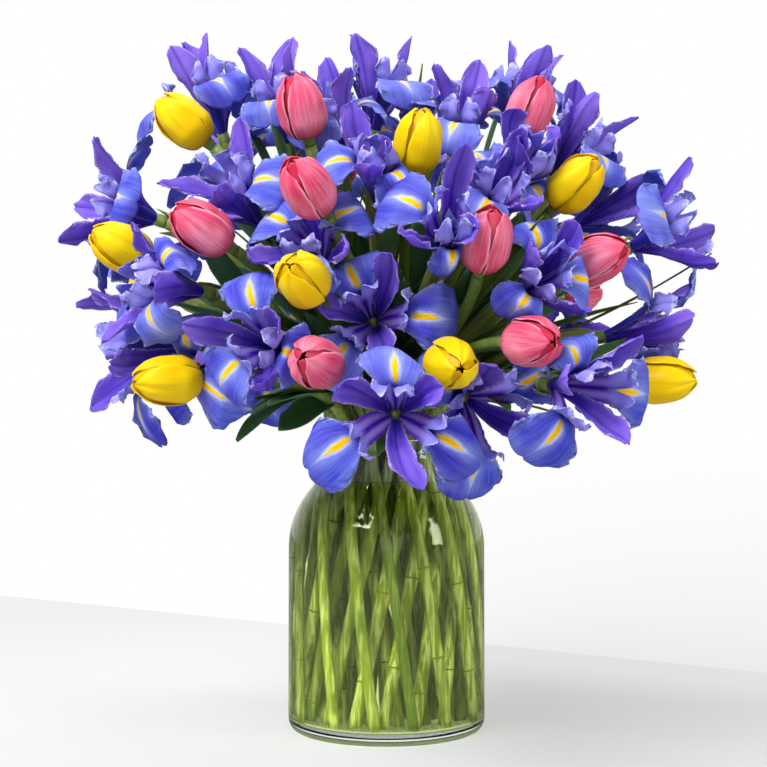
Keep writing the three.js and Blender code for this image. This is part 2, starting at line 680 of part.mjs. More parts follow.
// A leaf blade that parts from the stem nearest to where it points, and bends over to a tip, with a
// shallow channel along its midrib.
function leaf({ tip, width, bow }, extra) {
  const end = vector(tip);
  const apart = (line) => line[0].distanceTo(end);
  const nearest = lines.reduce((best, line) => (apart(line) < apart(best) ? line : best));
  const start = nearest[1].clone().lerp(nearest[0], LEAF_START);
  const bend = start.clone().lerp(end, 0.5).add(vector(bow));
  const curve = new THREE.QuadraticBezierCurve3(start, bend, end);
  const outline = [[0, 0.12], [0.4, 1], [0.72, 0.75], [1, 0]];
  const sections = outline.map(([place, share]) => {
    const middle = curve.getPoint(place);
    const along = curve.getTangent(place);
    const side = new THREE.Vector3().crossVectors(up, along).normalize();
    const lift = new THREE.Vector3().crossVectors(along, side).normalize();
    if (share === 0) middle.addScaledVector(along, extra);
    const half = share === 0 ? 0 : (width / 2) * share + extra;
    const raised = middle.clone().addScaledVector(lift, half * 0.3);
    return [raised.clone().addScaledVector(side, half), middle, raised.clone().addScaledVector(side, -half)];
  });
  const [[left, middle, right], ...rest] = sections;
  const normal = right.clone().sub(left).cross(curve.getTangent(0)).setLength(LEAF_THICKNESS / 2 + extra);
  const mesh = {
    points: [left, middle.clone().add(normal), right, middle.clone().sub(normal)],
    triangles: [[0, 3, 1], [1, 3, 2]],
  };
  growBlade(mesh, [0, 1, 2, 3], rest, LEAF_THICKNESS + 2 * extra);
  return solidFromArrays(mesh.points, mesh.triangles);
}

const flowers = [
  ...layered(IRISES).map((iris, index) => ({ ...iris, index, frame: frameOf(iris, IRIS_MIDDLE) })),
  ...TULIPS.map((tulip) => ({ ...tulip, tulip: true, frame: frameOf(tulip, TULIP_MIDDLE) })),
];
flowers.forEach((flower, i) => {
  flower.room = roomOf(i, flowers);
});

const places = shareOut(flowers, stemPlaces());
const lines = flowers.map((flower, i) => stemLine(flower, places[i]));
const stemRadii = [STEM_RADIUS + 0.6, STEM_RADIUS, STEM_RADIUS, STEM_RADIUS];
const stem = (i, extra) => tube(lines[i], stemRadii, flowers[i].frame.z.clone().negate(), extra);
const green = wasm.Manifold.union([
  heart(0),
  ...flowers.map((_, i) => stem(i, 0)),
  ...LEAVES.map((shape) => leaf(shape, 0)),
]);
const greenRoom = [
  heart(GAP + 0.1),
  ...flowers.map((_, i) => stem(i, GAP + 0.1)),
  ...LEAVES.map((shape) => leaf(shape, GAP + 0.1)),
];

const bunch = new THREE.Group();

function add(name, solid, look) {
  const { opacity = 1, ...rest } = COLOURS[look];
  const clear = { opacity, transparent: opacity < 1 };
  const material = new THREE.MeshStandardMaterial({ ...rest, ...clear, metalness: 0 });
  const mesh = new THREE.Mesh(geometryFrom(solid), material);
  mesh.name = name;
  bunch.add(mesh);
}

const counts = {};
flowers.forEach((flower, i) => {
  const kind = flower.tulip ? "tulip_" + flower.colour : "iris";
  counts[kind] = (counts[kind] ?? 0) + 1;
  const bloom = flower.tulip ? tulip(flower) : iris(flower);
  const others = greenRoom.filter((_, k) => k !== 1 + i);
  const cut = others.reduce((left, thing) => (near(left, thing) ? left.subtract(thing) : left), bloom);
  const name = kind + "_" + String(counts[kind]).padStart(2, "0");
  add(name, largest(cut), flower.tulip ? flower.colour : "iris");
});

const holes = flowers.map((_, i) => stem(i, GAP));
add("jar", jar(), "glass");
add("water", holes.reduce((left, hole) => left.subtract(hole), water()), "water");
add("stems_and_leaves", green, "green");

export default bunch;
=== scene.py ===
"""A clear glass jar of water that holds a full bunch of blue irises with yellow and pink tulips.

Shapes are worked out in millimetres, as in the part's source, and made in metres.
"""
import itertools
import logging
import math
from dataclasses import dataclass, field
from enum import Enum
from typing import Callable, Sequence

import bmesh
import bpy
import numpy as np
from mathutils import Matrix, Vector


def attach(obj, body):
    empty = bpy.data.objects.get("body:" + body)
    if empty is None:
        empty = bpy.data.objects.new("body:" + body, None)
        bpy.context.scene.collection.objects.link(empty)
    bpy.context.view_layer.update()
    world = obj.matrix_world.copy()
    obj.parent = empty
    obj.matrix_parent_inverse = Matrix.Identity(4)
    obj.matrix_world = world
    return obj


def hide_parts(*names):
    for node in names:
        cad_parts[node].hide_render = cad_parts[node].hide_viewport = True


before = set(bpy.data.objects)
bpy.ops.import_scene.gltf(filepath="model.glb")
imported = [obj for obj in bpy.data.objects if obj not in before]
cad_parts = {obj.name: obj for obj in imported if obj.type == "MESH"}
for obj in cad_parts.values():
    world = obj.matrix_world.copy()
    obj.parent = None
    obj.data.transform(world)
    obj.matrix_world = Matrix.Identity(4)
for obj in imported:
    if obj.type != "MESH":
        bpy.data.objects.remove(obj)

log = logging.getLogger("bouquet")
MM = 0.001
BODY = "root"
Array = np.ndarray
Knots = Sequence[tuple[float, float]]
Bend = Callable[[float], float]
# Half widths are kept with the points in units of this many millimetres.
HALF_UNIT = 20.0
# A direction that no stem follows.
ASKEW = np.array([0.3, 1.0, 0.1])


class Colour(Enum):
    """The colours of the flowers, the green and the glass, as seen."""

    FALL = "#414ed6"
    FALL_LIGHT = "#9eacf0"
    FALL_DEEP = "#1f10b0"
    HALO = "#d6dcfa"
    SIGNAL = "#ffd60e"
    SIGNAL_WARM = "#f7a708"
    STANDARD = "#552ecc"
    STANDARD_LIGHT = "#ac8cf0"
    STANDARD_DEEP = "#2606a8"
    LILAC_RIM = "#e4d8fc"
    ARM = "#7038c2"
    ARM_PALE = "#b8a0f4"
    ARM_DEEP = "#380ea0"
    CREST = "#9a98ee"
    THROAT = "#c9a57a"
    YELLOW = "#f2c900"
    YELLOW_LIGHT = "#f8e018"
    YELLOW_DEEP = "#d99e00"
    PINK = "#de3866"
    PINK_LIGHT = "#ffbad2"
    PINK_DEEP = "#c40e38"
    STEM_DRY = "#6c9434"
    STEM = "#8e9308"
    STEM_DARK = "#3f5400"
    STEM_PALE = "#e8e4b4"
    STEM_TULIP = "#a0a63a"
    SCAR = "#7a6a1c"
    LEAF = "#557a2c"
    LEAF_BLUE = "#4c8468"
    LEAF_PALE = "#8aa870"
    LEAF_DARK = "#2c4a1c"
    GLASS = "#f4faf6"
    WATER = "#f0f5bc"

    def linear(self, alpha: float = 1.0) -> tuple[float, float, float, float]:
        """The colour in the renderer's own scale.

        Args:
            alpha: how solid it is.

        Returns:
            Red, green, blue and alpha.
        """
        parts = [int(self.value[i : i + 2], 16) / 255 for i in (1, 3, 5)]
        red, green, blue = (c / 12.92 if c <= 0.04045 else ((c + 0.055) / 1.055) ** 2.4 for c in parts)
        return red, green, blue, alpha


class Surface(Enum):
    """What a face of a flower or of the green belongs to."""

    FALL = "iris fall"
    STANDARD = "iris standard"
    ARM = "iris style arm"
    OVARY = "iris ovary"
    YELLOW = "yellow tulip petal"
    PINK = "pink tulip petal"
    IRIS_STEM = "iris stem"
    TULIP_STEM = "tulip stem"
    SHEATH = "iris sheath"
    IRIS_LEAF = "iris leaf"
    TULIP_LEAF = "tulip leaf"


# The bunch, as in the part's source: where each bloom's petals join, the way it faces, its turn and the
# lean of its upright petals in degrees.
IRISES = [
    ((5, -166, 234), (0, -1, 0.05), 0, 46),
    ((34, -150, 330), (0.15, -0.93, 0.35), 60, 42),
    ((-68, -150, 272), (-0.3, -0.95, 0.1), 12, 40),
    ((98, -140, 252), (0.5, -0.85, -0.05), 25, 34),
    ((-112, -122, 309), (-0.8, -0.58, 0.12), 85, 45),
    ((-112, -28, 424), (-0.35, -0.25, 0.9), 20, 10),
    ((-70, -52, 424), (-0.15, -0.35, 0.92), 75, 16),
    ((-8, -22, 426), (0.03, -0.22, 0.98), 85, 22),
    ((-42, 30, 432), (-0.15, 0.05, 1), 10, 18),
    ((50, -62, 408), (0.12, -0.42, 0.9), 30, 22),
    ((88, 0, 426), (0.25, -0.1, 0.95), 55, 16),
    ((126, -48, 408), (0.5, -0.25, 0.82), 25, 24),
    ((138, 10, 372), (0.82, 0, 0.55), 40, 30),
    ((160, -62, 344), (0.92, -0.28, 0.25), 80, 48),
    ((150, -72, 286), (0.95, -0.3, 0.02), 35, 50),
    ((86, -134, 310), (0.4, -0.85, 0.3), 15, 40),
    ((-164, -42, 372), (-0.93, -0.2, 0.3), 30, 42),
    ((-142, -92, 276), (-0.93, -0.35, -0.05), 70, 48),
    ((-116, -128, 262), (-0.5, -0.8, -0.12), 0, 34),
    ((-92, -104, 368), (-0.5, -0.65, 0.55), 35, 34),
    ((-6, -122, 372), (0, -0.75, 0.65), 100, 34),
    ((66, -118, 368), (0.35, -0.75, 0.58), 20, 36),
    ((-46, -136, 335), (-0.2, -0.85, 0.45), 62, 46),
    ((-10, -138, 294), (-0.05, -0.98, 0.12), 25, 38),
    ((-36, -62, 420), (-0.1, -0.4, 0.9), 50, 20),
    ((78, -84, 374), (0.3, -0.8, 0.5), 75, 44),
    ((54, -130, 242), (0.3, -0.92, -0.25), 60, 36),
    ((-104, 55, 400), (-0.55, 0.4, 0.75), 10, 28),
    ((30, 66, 426), (0.15, 0.5, 0.85), 50, 26),
    ((104, 92, 372), (0.6, 0.6, 0.5), 0, 36),
    ((-152, 40, 318), (-0.9, 0.35, 0.2), 60, 44),
    ((-48, 118, 372), (-0.3, 0.75, 0.6), 30, 38),
    ((34, 142, 330), (0.2, 0.9, 0.35), 70, 44),
    ((122, 100, 290), (0.75, 0.65, 0.1), 20, 46),
    ((-86, 128, 284), (-0.5, 0.85, 0.1), 45, 46),
]
# Each tulip's colour, the base of its cup, the way it points, and how closed its mouth is.
TULIPS = [
    ("yellow", (-126, -72, 423), (-0.75, -0.2, 0.65), 0.4),
    ("yellow", (17, -130, 391), (0.15, -0.52, 0.84), 0.5),
    ("yellow", (114, -105, 373), (0.58, -0.53, 0.62), 0.5),
    ("yellow", (-159, -110, 334), (-0.8, -0.42, 0.42), 0.5),
    ("yellow", (-46, -182, 308), (-0.28, -0.92, 0.27), 0.6),
    ("yellow", (-120, -152, 254), (-0.91, -0.4, -0.04), 0.5),
    ("yellow", (35, -180, 265), (0.2, -0.96, -0.14), 0.7),
    ("yellow", (166, -100, 254), (0.9, -0.42, 0.03), 0.6),
    ("pink", (-53, -110, 419), (-0.2, -0.5, 0.84), 0.6),
    ("pink", (-41, -165, 361), (-0.43, -0.68, 0.59), 0.5),
    ("pink", (-103, -148, 341), (-0.72, -0.5, 0.47), 0.6),
    ("pink", (92, -80, 424), (0.33, -0.4, 0.86), 0.6),
    ("pink", (59, -168, 324), (0.15, -0.65, 0.74), 0.2),
    ("pink", (120, -125, 326), (0.78, -0.5, 0.33), 0.6),
    ("pink", (-37, -184, 260), (-0.3, -0.94, 0.12), 0.9),
    ("pink", (79, -172, 277), (0.5, -0.85, -0.05), 0.7),
    ("yellow", (-10, 160, 300), (0, 0.98, 0.15), 0.5),
    ("pink", (-100, 118, 338), (-0.6, 0.7, 0.4), 0.6),
    ("yellow", (78, 138, 346), (0.4, 0.8, 0.45), 0.5),
    ("pink", (-36, 84, 420), (-0.2, 0.5, 0.85), 0.6),
    ("pink", (142, 92, 328), (0.75, 0.6, 0.25), 0.5),
]
# Long leaves: the tip, the greatest width, and how far the middle bows aside. The last five are not in the
# part's source and close gaps behind the blooms.
LEAVES = [
    ((230, -60, 346), 8, (-6, -10, -20)),
    ((98, -178, 356), 10, (-8, 4, -10)),
    ((110, -146, 354), 10, (-10, 4, -12)),
    ((-100, -118, 214), 22, (-4, -6, 14)),
    ((-24, -152, 262), 28, (-10, -8, 4)),
    ((50, -148, 262), 26, (8, -6, 4)),
    ((-70, -146, 320), 20, (0, 0, 14)),
    ((26, -40, 486), 12, (6, -8, 0)),
    ((-112, 122, 236), 26, (0, 0, 16)),
    ((66, 140, 246), 28, (0, 0, 16)),
    ((-14, 146, 350), 24, (0, 8, 0)),
    ((158, 58, 252), 26, (0, 0, 14)),
    ((-62, -98, 366), 28, (-8, -6, 0)),
    ((26, -104, 372), 30, (0, -10, 0)),
    ((92, -78, 350), 28, (8, -4, 0)),
    ((-112, -60, 340), 28, (-6, -4, 4)),
    ((-72, 92, 366), 30, (-6, 6, 0)),
    ((44, 100, 382), 30, (4, 8, 0)),
    ((-146, 70, 262), 26, (0, 0, 14)),
    ((-126, 58, 494), 26, (0, 0, 0)),
    ((94, 46, 486), 26, (0, 0, 0)),
    ((-158, 40, 372), 28, (0, 0, 0)),
    ((188, 30, 352), 24, (0, 0, 6)),
    ((-74, -94, 222), 32, (4, 6, -6)),
]


# Small sums.


def chance(n: int) -> float:
    """A number from 0 to 1, always the same one for the same whole number."""
    x = math.sin(n * 12.9898 + 4.1414) * 4375.8545
    return x - math.floor(x)


def unit(v: Sequence[float]) -> Array:
    """The vector at length one."""
    v = np.asarray(v, dtype=float)
    return v / np.linalg.norm(v)


def grey(value: float) -> tuple[float, float, float, float]:
    """A grey of the renderer's own scale."""
    return value, value, value, 1.0


def read(knots: Knots, place: Array | float) -> Array | float:
    """Straight-line reading of (place, value) pairs."""
    return np.interp(place, [k[0] for k in knots], [k[1] for k in knots])


def flow(knots: Knots, place: Array | float) -> Array:
    """Smooth reading of (place, value) pairs.

    Args:
        knots: pairs in order of place.
        place: where to read.

    Returns:
        The values of one smooth line through the pairs.
    """
    x = np.array([k[0] for k in knots], dtype=float)
    y = np.array([k[1] for k in knots], dtype=float)
    slopes = np.diff(y) / np.diff(x)
    tangent = np.zeros_like(y)
    before, after = slopes[:-1], slopes[1:]
    tangent[1:-1] = np.where(after * before > 0, 2 * after * before / (after + before + 1e-12), 0)
    tangent[0], tangent[-1] = slopes[0], slopes[-1]
    place = np.clip(place, x[0], x[-1])
    i = np.clip(np.searchsorted(x, place, side="right") - 1, 0, len(x) - 2)
    h = x[i + 1] - x[i]
    t = (place - x[i]) / h
    return (
        y[i] * (1 + 2 * t) * (1 - t) ** 2
        + tangent[i] * h * t * (1 - t) ** 2
        + y[i + 1] * t * t * (3 - 2 * t)
        + tangent[i + 1] * h * t * t * (t - 1)
    )


def bezier(points: Sequence[Array], t: Array) -> Array:
    """A smooth curve steered by a few points.

    Args:
        points: three or four points; the curve starts at the first and ends at the last.
        t: the shares of its way to read.

    Returns:
        The curve's points.
    """
    t = np.asarray(t)[:, None]
    n = len(points) - 1
    shares = [math.comb(n, k) * t**k * (1 - t) ** (n - k) for k in range(n + 1)]
    return sum(share * np.asarray(p, dtype=float) for share, p in zip(shares, points))


# The bunch's plan.


@dataclass
class Bloom:
    """Where one flower sits and looks, and the room that it keeps to between its neighbours."""

    BASE = 6.0
    BUNCH_CENTRE = np.array([0.0, 0.0, 268.0])
    LEAST_REACH = 6.0
    SOFT_FROM = 0.78
    CORNERS = 10

    name: str
    seat: Array
    faces: tuple[float, float, float]
    middle_out: float
    turn: float = 0.0
    splay: float = 0.0
    colour: str = "iris"
    closed: float = 0.5
    index: int = 0
    normals: Array = field(default_factory=lambda: np.zeros((0, 3)))
    reaches: Array = field(default_factory=lambda: np.zeros(0))
    give: Array = field(default_factory=lambda: np.zeros(0))

    def __post_init__(self) -> None:
        """Sets up the bloom's own axes: z out of the stem, x as near up as that allows."""
        self.z = unit(self.faces)
        up = np.array([0.0, 0.0, 1.0])
        self.x = unit(up - self.z * (up @ self.z))
        self.y = np.cross(self.z, self.x)
        self.middle = self.seat + self.z * self.middle_out

    def place(
        self, radial: Array, azimuth: Array | float, height: Array, sideways: Array | float = 0.0
    ) -> Array:
        """Points in the bunch from places in the bloom's own axes.

        Args:
            radial: the distance from the bloom's axis.
            azimuth: the angle round the axis.
            height: the height along the axis above the seat.
            sideways: the shift square to both.

        Returns:
            The points, in millimetres.
        """
        c, s = np.cos(azimuth), np.sin(azimuth)
        a, b = radial * c - sideways * s, radial * s + sideways * c
        up = np.asarray(height)[..., None] * self.z
        return self.seat + a[..., None] * self.x + b[..., None] * self.y + up

    def outside(self, points: Array) -> float:
        """How far the furthest of the points lies outside the bloom's room."""
        return float(((points - self.middle) @ self.normals.T - self.reaches).max())

    def pressed(self, points: Array, loose: float) -> Array:
        """Presses points softly into the bloom's room.

        Args:
            points: the points of a petal.
            loose: how many millimetres wider the room is where it meets another iris.

        Returns:
            The points, the outer ones drawn in towards the bloom's middle.
        """
        away = points - self.middle
        reaches = np.maximum(self.reaches + loose * self.give, self.LEAST_REACH)
        ratio = np.maximum(away @ self.normals.T / reaches, 0)
        ratio = (ratio**self.CORNERS).sum(axis=-1) ** (1 / self.CORNERS) + 1e-9
        room = 1 - self.SOFT_FROM
        eased = self.SOFT_FROM + room * (1 - np.exp(-(ratio - self.SOFT_FROM) / room))
        held = np.where(ratio > self.SOFT_FROM, eased, ratio)
        return self.middle + away * (held / ratio)[..., None]


class Plan:
    """The arrangement of the bunch: blooms in their rooms, and their stems, by the part's own rules."""

    IRIS_MIDDLE, TULIP_MIDDLE = 30.0, 22.5
    TULIP_RADIUS, TULIP_LENGTH = 15.2, 45.5
    CUP_ACROSS, CUP_ALONG = 1.11, 0.55
    MARGIN, GAP = 1.0, 0.3
    TULIP_GIVE = 0.1
    LAYERS = (12, 0, -12)
    SIDE_BY_SIDE = 90.0
    RINGS = (
        (14, 43.2, 59.5, 28, 7),
        (15, 35, 49, -56, 2.2),
        (13, 26, 38.5, 60, 2.2),
        (9, 17, 28, -60, 2.2),
        (5, 8, 17, 60, 2.2),
    )
    STEM_FOOT, NECK_PASS, HEART_PASS, HEART_DRAW = 9.2, 200.0, 246.0, 0.9
    WIDEST_LEAN = math.pi / 2.4
    LEAF_START = 0.22

    def __init__(self) -> None:
        """Seats every bloom, gives it its room, and leads its stem."""
        self.irises = self.layered()
        self.tulips = [
            Bloom(
                name=f"tulip_{colour}_{sum(t[0] == colour for t in TULIPS[: i + 1]):02d}",
                seat=np.array(seat, dtype=float),
                faces=faces,
                middle_out=self.TULIP_MIDDLE,
                colour=colour,
                closed=closed,
                index=i,
            )
            for i, (colour, seat, faces, closed) in enumerate(TULIPS)
        ]
        self.blooms = self.irises + self.tulips
        for bloom in self.irises:
            self.give_room(bloom)
        self.lines = self.stem_lines()

    def layered(self) -> list[Bloom]:
        """The irises in their layers.

        Returns:
            The irises, each seated in the layer that is least crowded by its neighbours.
        """
        done: list[tuple[Array, float]] = []
        irises = []
        for i, (seat, faces, turn, splay) in enumerate(IRISES):
            first = np.array(seat, dtype=float)
            near = [(np.linalg.norm(s - first), layer) for s, layer in done]
            near = [(d, layer) for d, layer in near if d < self.SIDE_BY_SIDE]
            crowding = {k: sum(self.SIDE_BY_SIDE - d for d, own in near if own == k) for k in self.LAYERS}
            layer = min(self.LAYERS, key=lambda k: crowding[k])
            done.append((first, layer))
            seat = first + unit(first - Bloom.BUNCH_CENTRE) * layer
            name = f"iris_{i + 1:02d}"
            irises.append(Bloom(name, seat, faces, self.IRIS_MIDDLE, math.radians(turn), splay, index=i))
        return irises

    def give_room(self, own: Bloom) -> None:
        """Sets the half-spaces that keep an iris clear of its neighbours.

        Args:
            own: the iris.
        """
        normals, reaches, give = [], [], []
        for other in self.blooms:
            if other is own:
                continue
            way = other.middle - own.middle
            apart = float(np.linalg.norm(way))
            normal = way / apart
            reach = apart / 2
            if other.colour != "iris":
                along = abs(float(normal @ other.z))
                across = math.sqrt(1 - along * along)
                wide = self.CUP_ACROSS * self.TULIP_RADIUS * across
                reach = apart - math.hypot(wide, self.CUP_ALONG * self.TULIP_LENGTH * along) - self.GAP
            normals.append(normal)
            reaches.append(reach - self.MARGIN)
            give.append(1.0 if other.colour == "iris" else self.TULIP_GIVE)
        own.normals, own.reaches, own.give = np.array(normals), np.array(reaches), np.array(give)

    def stem_lines(self) -> list[Array]:
        """Leads every stem from its bloom to its own place on the jar's floor.

        Returns:
            Each bloom's stem as four points: under it, in the heart, in the neck, on the jar's floor.
        """
        places = []
        for ring, (count, neck, foot, turn, sway) in enumerate(self.RINGS):
            for k in range(count):
                angle = (k + 0.5 * ring) * 2 * math.pi / count
                end = angle + math.radians(turn) + (chance(ring * 40 + k) * 2 - 1) * sway / foot
                upper = neck * np.array([math.cos(angle), math.sin(angle)])
                lower = foot * np.array([math.cos(end), math.sin(end)])
                places.append((upper, lower))
        seats = [bloom.seat for bloom in self.blooms]
        lean = [math.atan2(math.hypot(*seat[:2]), max(seat[2] - self.NECK_PASS, 1)) for seat in seats]
        chosen: dict[int, tuple[Array, Array]] = {}
        for i in sorted(range(len(self.blooms)), key=lambda k: -lean[k]):
            wanted = unit(self.blooms[i].seat[:2]) * self.RINGS[0][1] * lean[i] / self.WIDEST_LEAN
            nearest = min(range(len(places)), key=lambda k: np.linalg.norm(places[k][0] - wanted))
            chosen[i] = places.pop(nearest)
        lines = []
        for i, bloom in enumerate(self.blooms):
            neck, foot = chosen[i]
            under = bloom.seat - bloom.z * (Bloom.BASE + self.GAP)
            heart = [*(neck * self.HEART_DRAW), self.HEART_PASS]
            lines.append(np.array([under, heart, [*neck, self.NECK_PASS], [*foot, self.STEM_FOOT]]))
        return lines


# Meshes.


class Pile:
    """Gathers sheets and tubes, with what their patterns need, into one mesh.

    Every point keeps where it lies on its petal, leaf or stem: the share of the way along, from -1 to 1
    across, and the half width. It also keeps a tone, which is the petal's own; on a tulip's inner petals
    it also calls for painted shade.
    """

    def __init__(self) -> None:
        """Starts empty."""
        self.points: list[Array] = []
        self.faces: list[Array] = []
        self.places: list[Array] = []
        self.tones: list[Array] = []
        self.surfaces: list[tuple[Surface, int]] = []
        self.count = 0

    def add(
        self, points: Array, faces: Array, places: Array, tone: Array | float, surface: Surface
    ) -> None:
        """Adds points and quads of one surface.

        Args:
            points: the points.
            faces: four of the points' numbers for each face.
            places: the three numbers that each point keeps.
            tone: the tone of all points, or of each.
            surface: what the faces are.
        """
        self.points.append(points)
        self.faces.append(faces + self.count)
        self.places.append(places)
        self.tones.append(np.broadcast_to(np.asarray(tone, dtype=float), (len(points),)))
        self.surfaces.append((surface, len(faces)))
        self.count += len(points)

    def add_sheet(
        self,
        points: Array,
        along: Array,
        across: Array,
        half: Array,
        surface: Surface,
        tone: float,
        thick: float,
    ) -> None:
        """Adds a thin closed blade on a grid of points.

        Args:
            points: the middle of the sheet, rows along it and columns across.
            along: the share of the way along, for each point.
            across: from -1 to 1 across, for each point.
            half: half the width in millimetres, for each point.
            surface: what the sheet is.
            tone: the petal's own tone, from 0 to 1.
            thick: the thickness at the midline; the edges are keener.
        """
        rows, columns = points.shape[:2]
        normal = np.cross(np.gradient(points, axis=1), np.gradient(points, axis=0))
        normal /= np.linalg.norm(normal, axis=-1, keepdims=True) + 1e-9
        lift = normal * (thick / 2) * (1 - 0.6 * np.abs(across) ** 2)[..., None]
        both = np.concatenate([(points + lift).reshape(-1, 3), (points - lift).reshape(-1, 3)])
        own = np.arange(rows * columns).reshape(rows, columns)
        far = own + rows * columns
        quads = np.stack([own[:-1, :-1], own[:-1, 1:], own[1:, 1:], own[1:, :-1]], axis=-1).reshape(-1, 4)
        back = np.stack([far[:-1, :-1], far[1:, :-1], far[1:, 1:], far[:-1, 1:]], axis=-1).reshape(-1, 4)
        rim = np.concatenate([own[0, :], own[1:, -1], own[-1, -2::-1], own[-2:0:-1, 0]])
        following = np.roll(rim, -1)
        wall = np.stack([rim, rim + rows * columns, following + rows * columns, following], axis=-1)
        place = np.stack([along, across, half / HALF_UNIT], axis=-1).reshape(-1, 3)
        self.add(both, np.concatenate([quads, back, wall]), np.concatenate([place, place]), tone, surface)

    def add_tube(
        self,
        path: Array,
        radii: Array,
        sides: int,
        surface: Surface,
        tone: Array | float,
        mark: Array | None = None,
    ) -> None:
        """Adds a closed tube along a path.

        Args:
            path: its points.
            radii: the radius at each point.
            sides: how many sides it has.
            surface: what the tube is.
            tone: its tone, or one for each point of the path.
            mark: what the pattern's third number is at each point, such as the scars of a stem.
        """
        count = len(path)
        tangent = np.gradient(path, axis=0)
        tangent /= np.linalg.norm(tangent, axis=1, keepdims=True)
        side = np.cross(tangent, ASKEW)
        side /= np.linalg.norm(side, axis=1, keepdims=True)
        other = np.cross(tangent, side)
        angle = np.arange(sides) * 2 * math.pi / sides
        cosine, sine = np.cos(angle)[None, :, None], np.sin(angle)[None, :, None]
        ring = cosine * side[:, None] + sine * other[:, None]
        points = (path[:, None] + ring * np.asarray(radii)[:, None, None]).reshape(-1, 3)
        own = np.arange(count * sides).reshape(count, sides)
        after = np.roll(own, -1, axis=1)
        quads = np.stack([own[:-1], after[:-1], after[1:], own[1:]], axis=-1).reshape(-1, 4)
        ends = np.array([[len(points)], [len(points) + 1]])
        points = np.concatenate([points, path[:1], path[-1:]])
        first = np.stack([np.full(sides, ends[0, 0]), after[0], own[0], own[0]], axis=-1)
        last = np.stack([np.full(sides, ends[1, 0]), own[-1], after[-1], after[-1]], axis=-1)
        length = np.concatenate([[0], np.cumsum(np.linalg.norm(np.diff(path, axis=0), axis=1))])
        marks = np.zeros(count) if mark is None else mark
        shares, around = np.repeat(length / 100, sides), np.tile(angle / math.pi - 1, count)
        place = np.stack([shares, around, np.repeat(marks, sides)], axis=-1)
        place = np.concatenate([place, place[:1], place[-1:]])
        tones = np.repeat(np.broadcast_to(np.asarray(tone, dtype=float), (count,)), sides)
        tones = np.concatenate([tones, tones[:1], tones[-1:]])
        self.add(points, np.concatenate([quads, first, last]), place, tones, surface)

    def build(self, name: str, finishes: dict[Surface, bpy.types.Material]) -> bpy.types.Object:
        """Makes the mesh object.

        Args:
            name: the piece's name.
            finishes: the material of each surface.

        Returns:
            The object, at the origin, with its place in its mesh.
        """
        mesh = bpy.data.meshes.new(name)
        faces = [tuple(dict.fromkeys(quad)) for quad in np.concatenate(self.faces).tolist()]
        mesh.from_pydata((np.concatenate(self.points) * MM).tolist(), [], faces)
        kinds = list(dict.fromkeys(surface for surface, _ in self.surfaces))
        for kind in kinds:
            mesh.materials.append(finishes[kind])
        slots = np.concatenate([np.full(count, kinds.index(surface)) for surface, count in self.surfaces])
        mesh.polygons.foreach_set("material_index", slots.astype(np.int32))
        place = mesh.attributes.new("place", "FLOAT_VECTOR", "POINT")
        place.data.foreach_set("vector", np.concatenate(self.places).astype(np.float32).ravel())
        tone = mesh.attributes.new("tone", "FLOAT", "POINT")
        tone.data.foreach_set("value", np.concatenate(self.tones).astype(np.float32))
        mesh.shade_smooth()
        mesh.update()
        piece = bpy.data.objects.new(name, mesh)
        bpy.context.collection.objects.link(piece)
        return piece


# Petals.


@dataclass(frozen=True)
class Petal:
    """The form of one kind of iris petal.

    Open and shut are its angles from the bloom's axis in degrees, or, where it is splayed, shares of the
    bloom's own splay. Lengths are millimetres.
    """

    surface: Surface
    start: tuple[float, float]
    length: float
    stations: tuple[float, ...]
    solid_half: Knots
    solid_cup: Knots
    open: Knots
    shut: Knots
    half: Knots
    cup: Knots
    wedge: float
    splayed: bool = False
    draw: float = 1.0
    sway: float = 12.0
    twist: float = 0.0
    horns: float = 0.0
    round_end: float = 0.0
    notch: float = 0.0
    notch_width: float = 0.15
    ruffle: Knots = ((0, 0), (1, 0))
    waves: float = 6.0
    rib: float = 0.0
    fringe: float = 0.03
    drift: float = 9.0
    frill: float = 0.0
    crowd: float = 1.0
    rows: int = 24
    columns: int = 13


FALL = Petal(
    surface=Surface.FALL,
    start=(3, 0),
    length=84,
    stations=(0.42, 0.6, 0.82, 1),
    solid_half=((0, 3), (0.42, 7.5), (0.6, 18), (0.82, 22), (1, 10)),
    solid_cup=((0, 0.5), (0.42, 0.35), (0.6, -0.1), (1, -0.3)),
    open=((0, 32), (0.45, 50), (0.6, 88), (0.8, 122), (1, 150)),
    shut=((0, 10), (0.45, 20), (0.6, 90), (0.8, 160), (1, 178)),
    half=(
        (0, 3), (0.2, 5), (0.42, 7), (0.5, 10.5), (0.58, 17), (0.68, 21.8), (0.8, 23.5), (0.9, 23), (1, 21)
    ),
    cup=((0, 0.5), (0.42, 0.4), (0.56, 0.02), (0.75, -0.14), (1, -0.26)),
    wedge=0.6,
    round_end=0.3,
    notch=0.05,
    notch_width=0.1,
    ruffle=((0, 0), (0.45, 0.3), (0.6, 1.6), (0.8, 2.4), (1, 2.2)),
    waves=5.5,
    rib=-0.5,
    fringe=0.035,
    rows=34,
    columns=17,
)
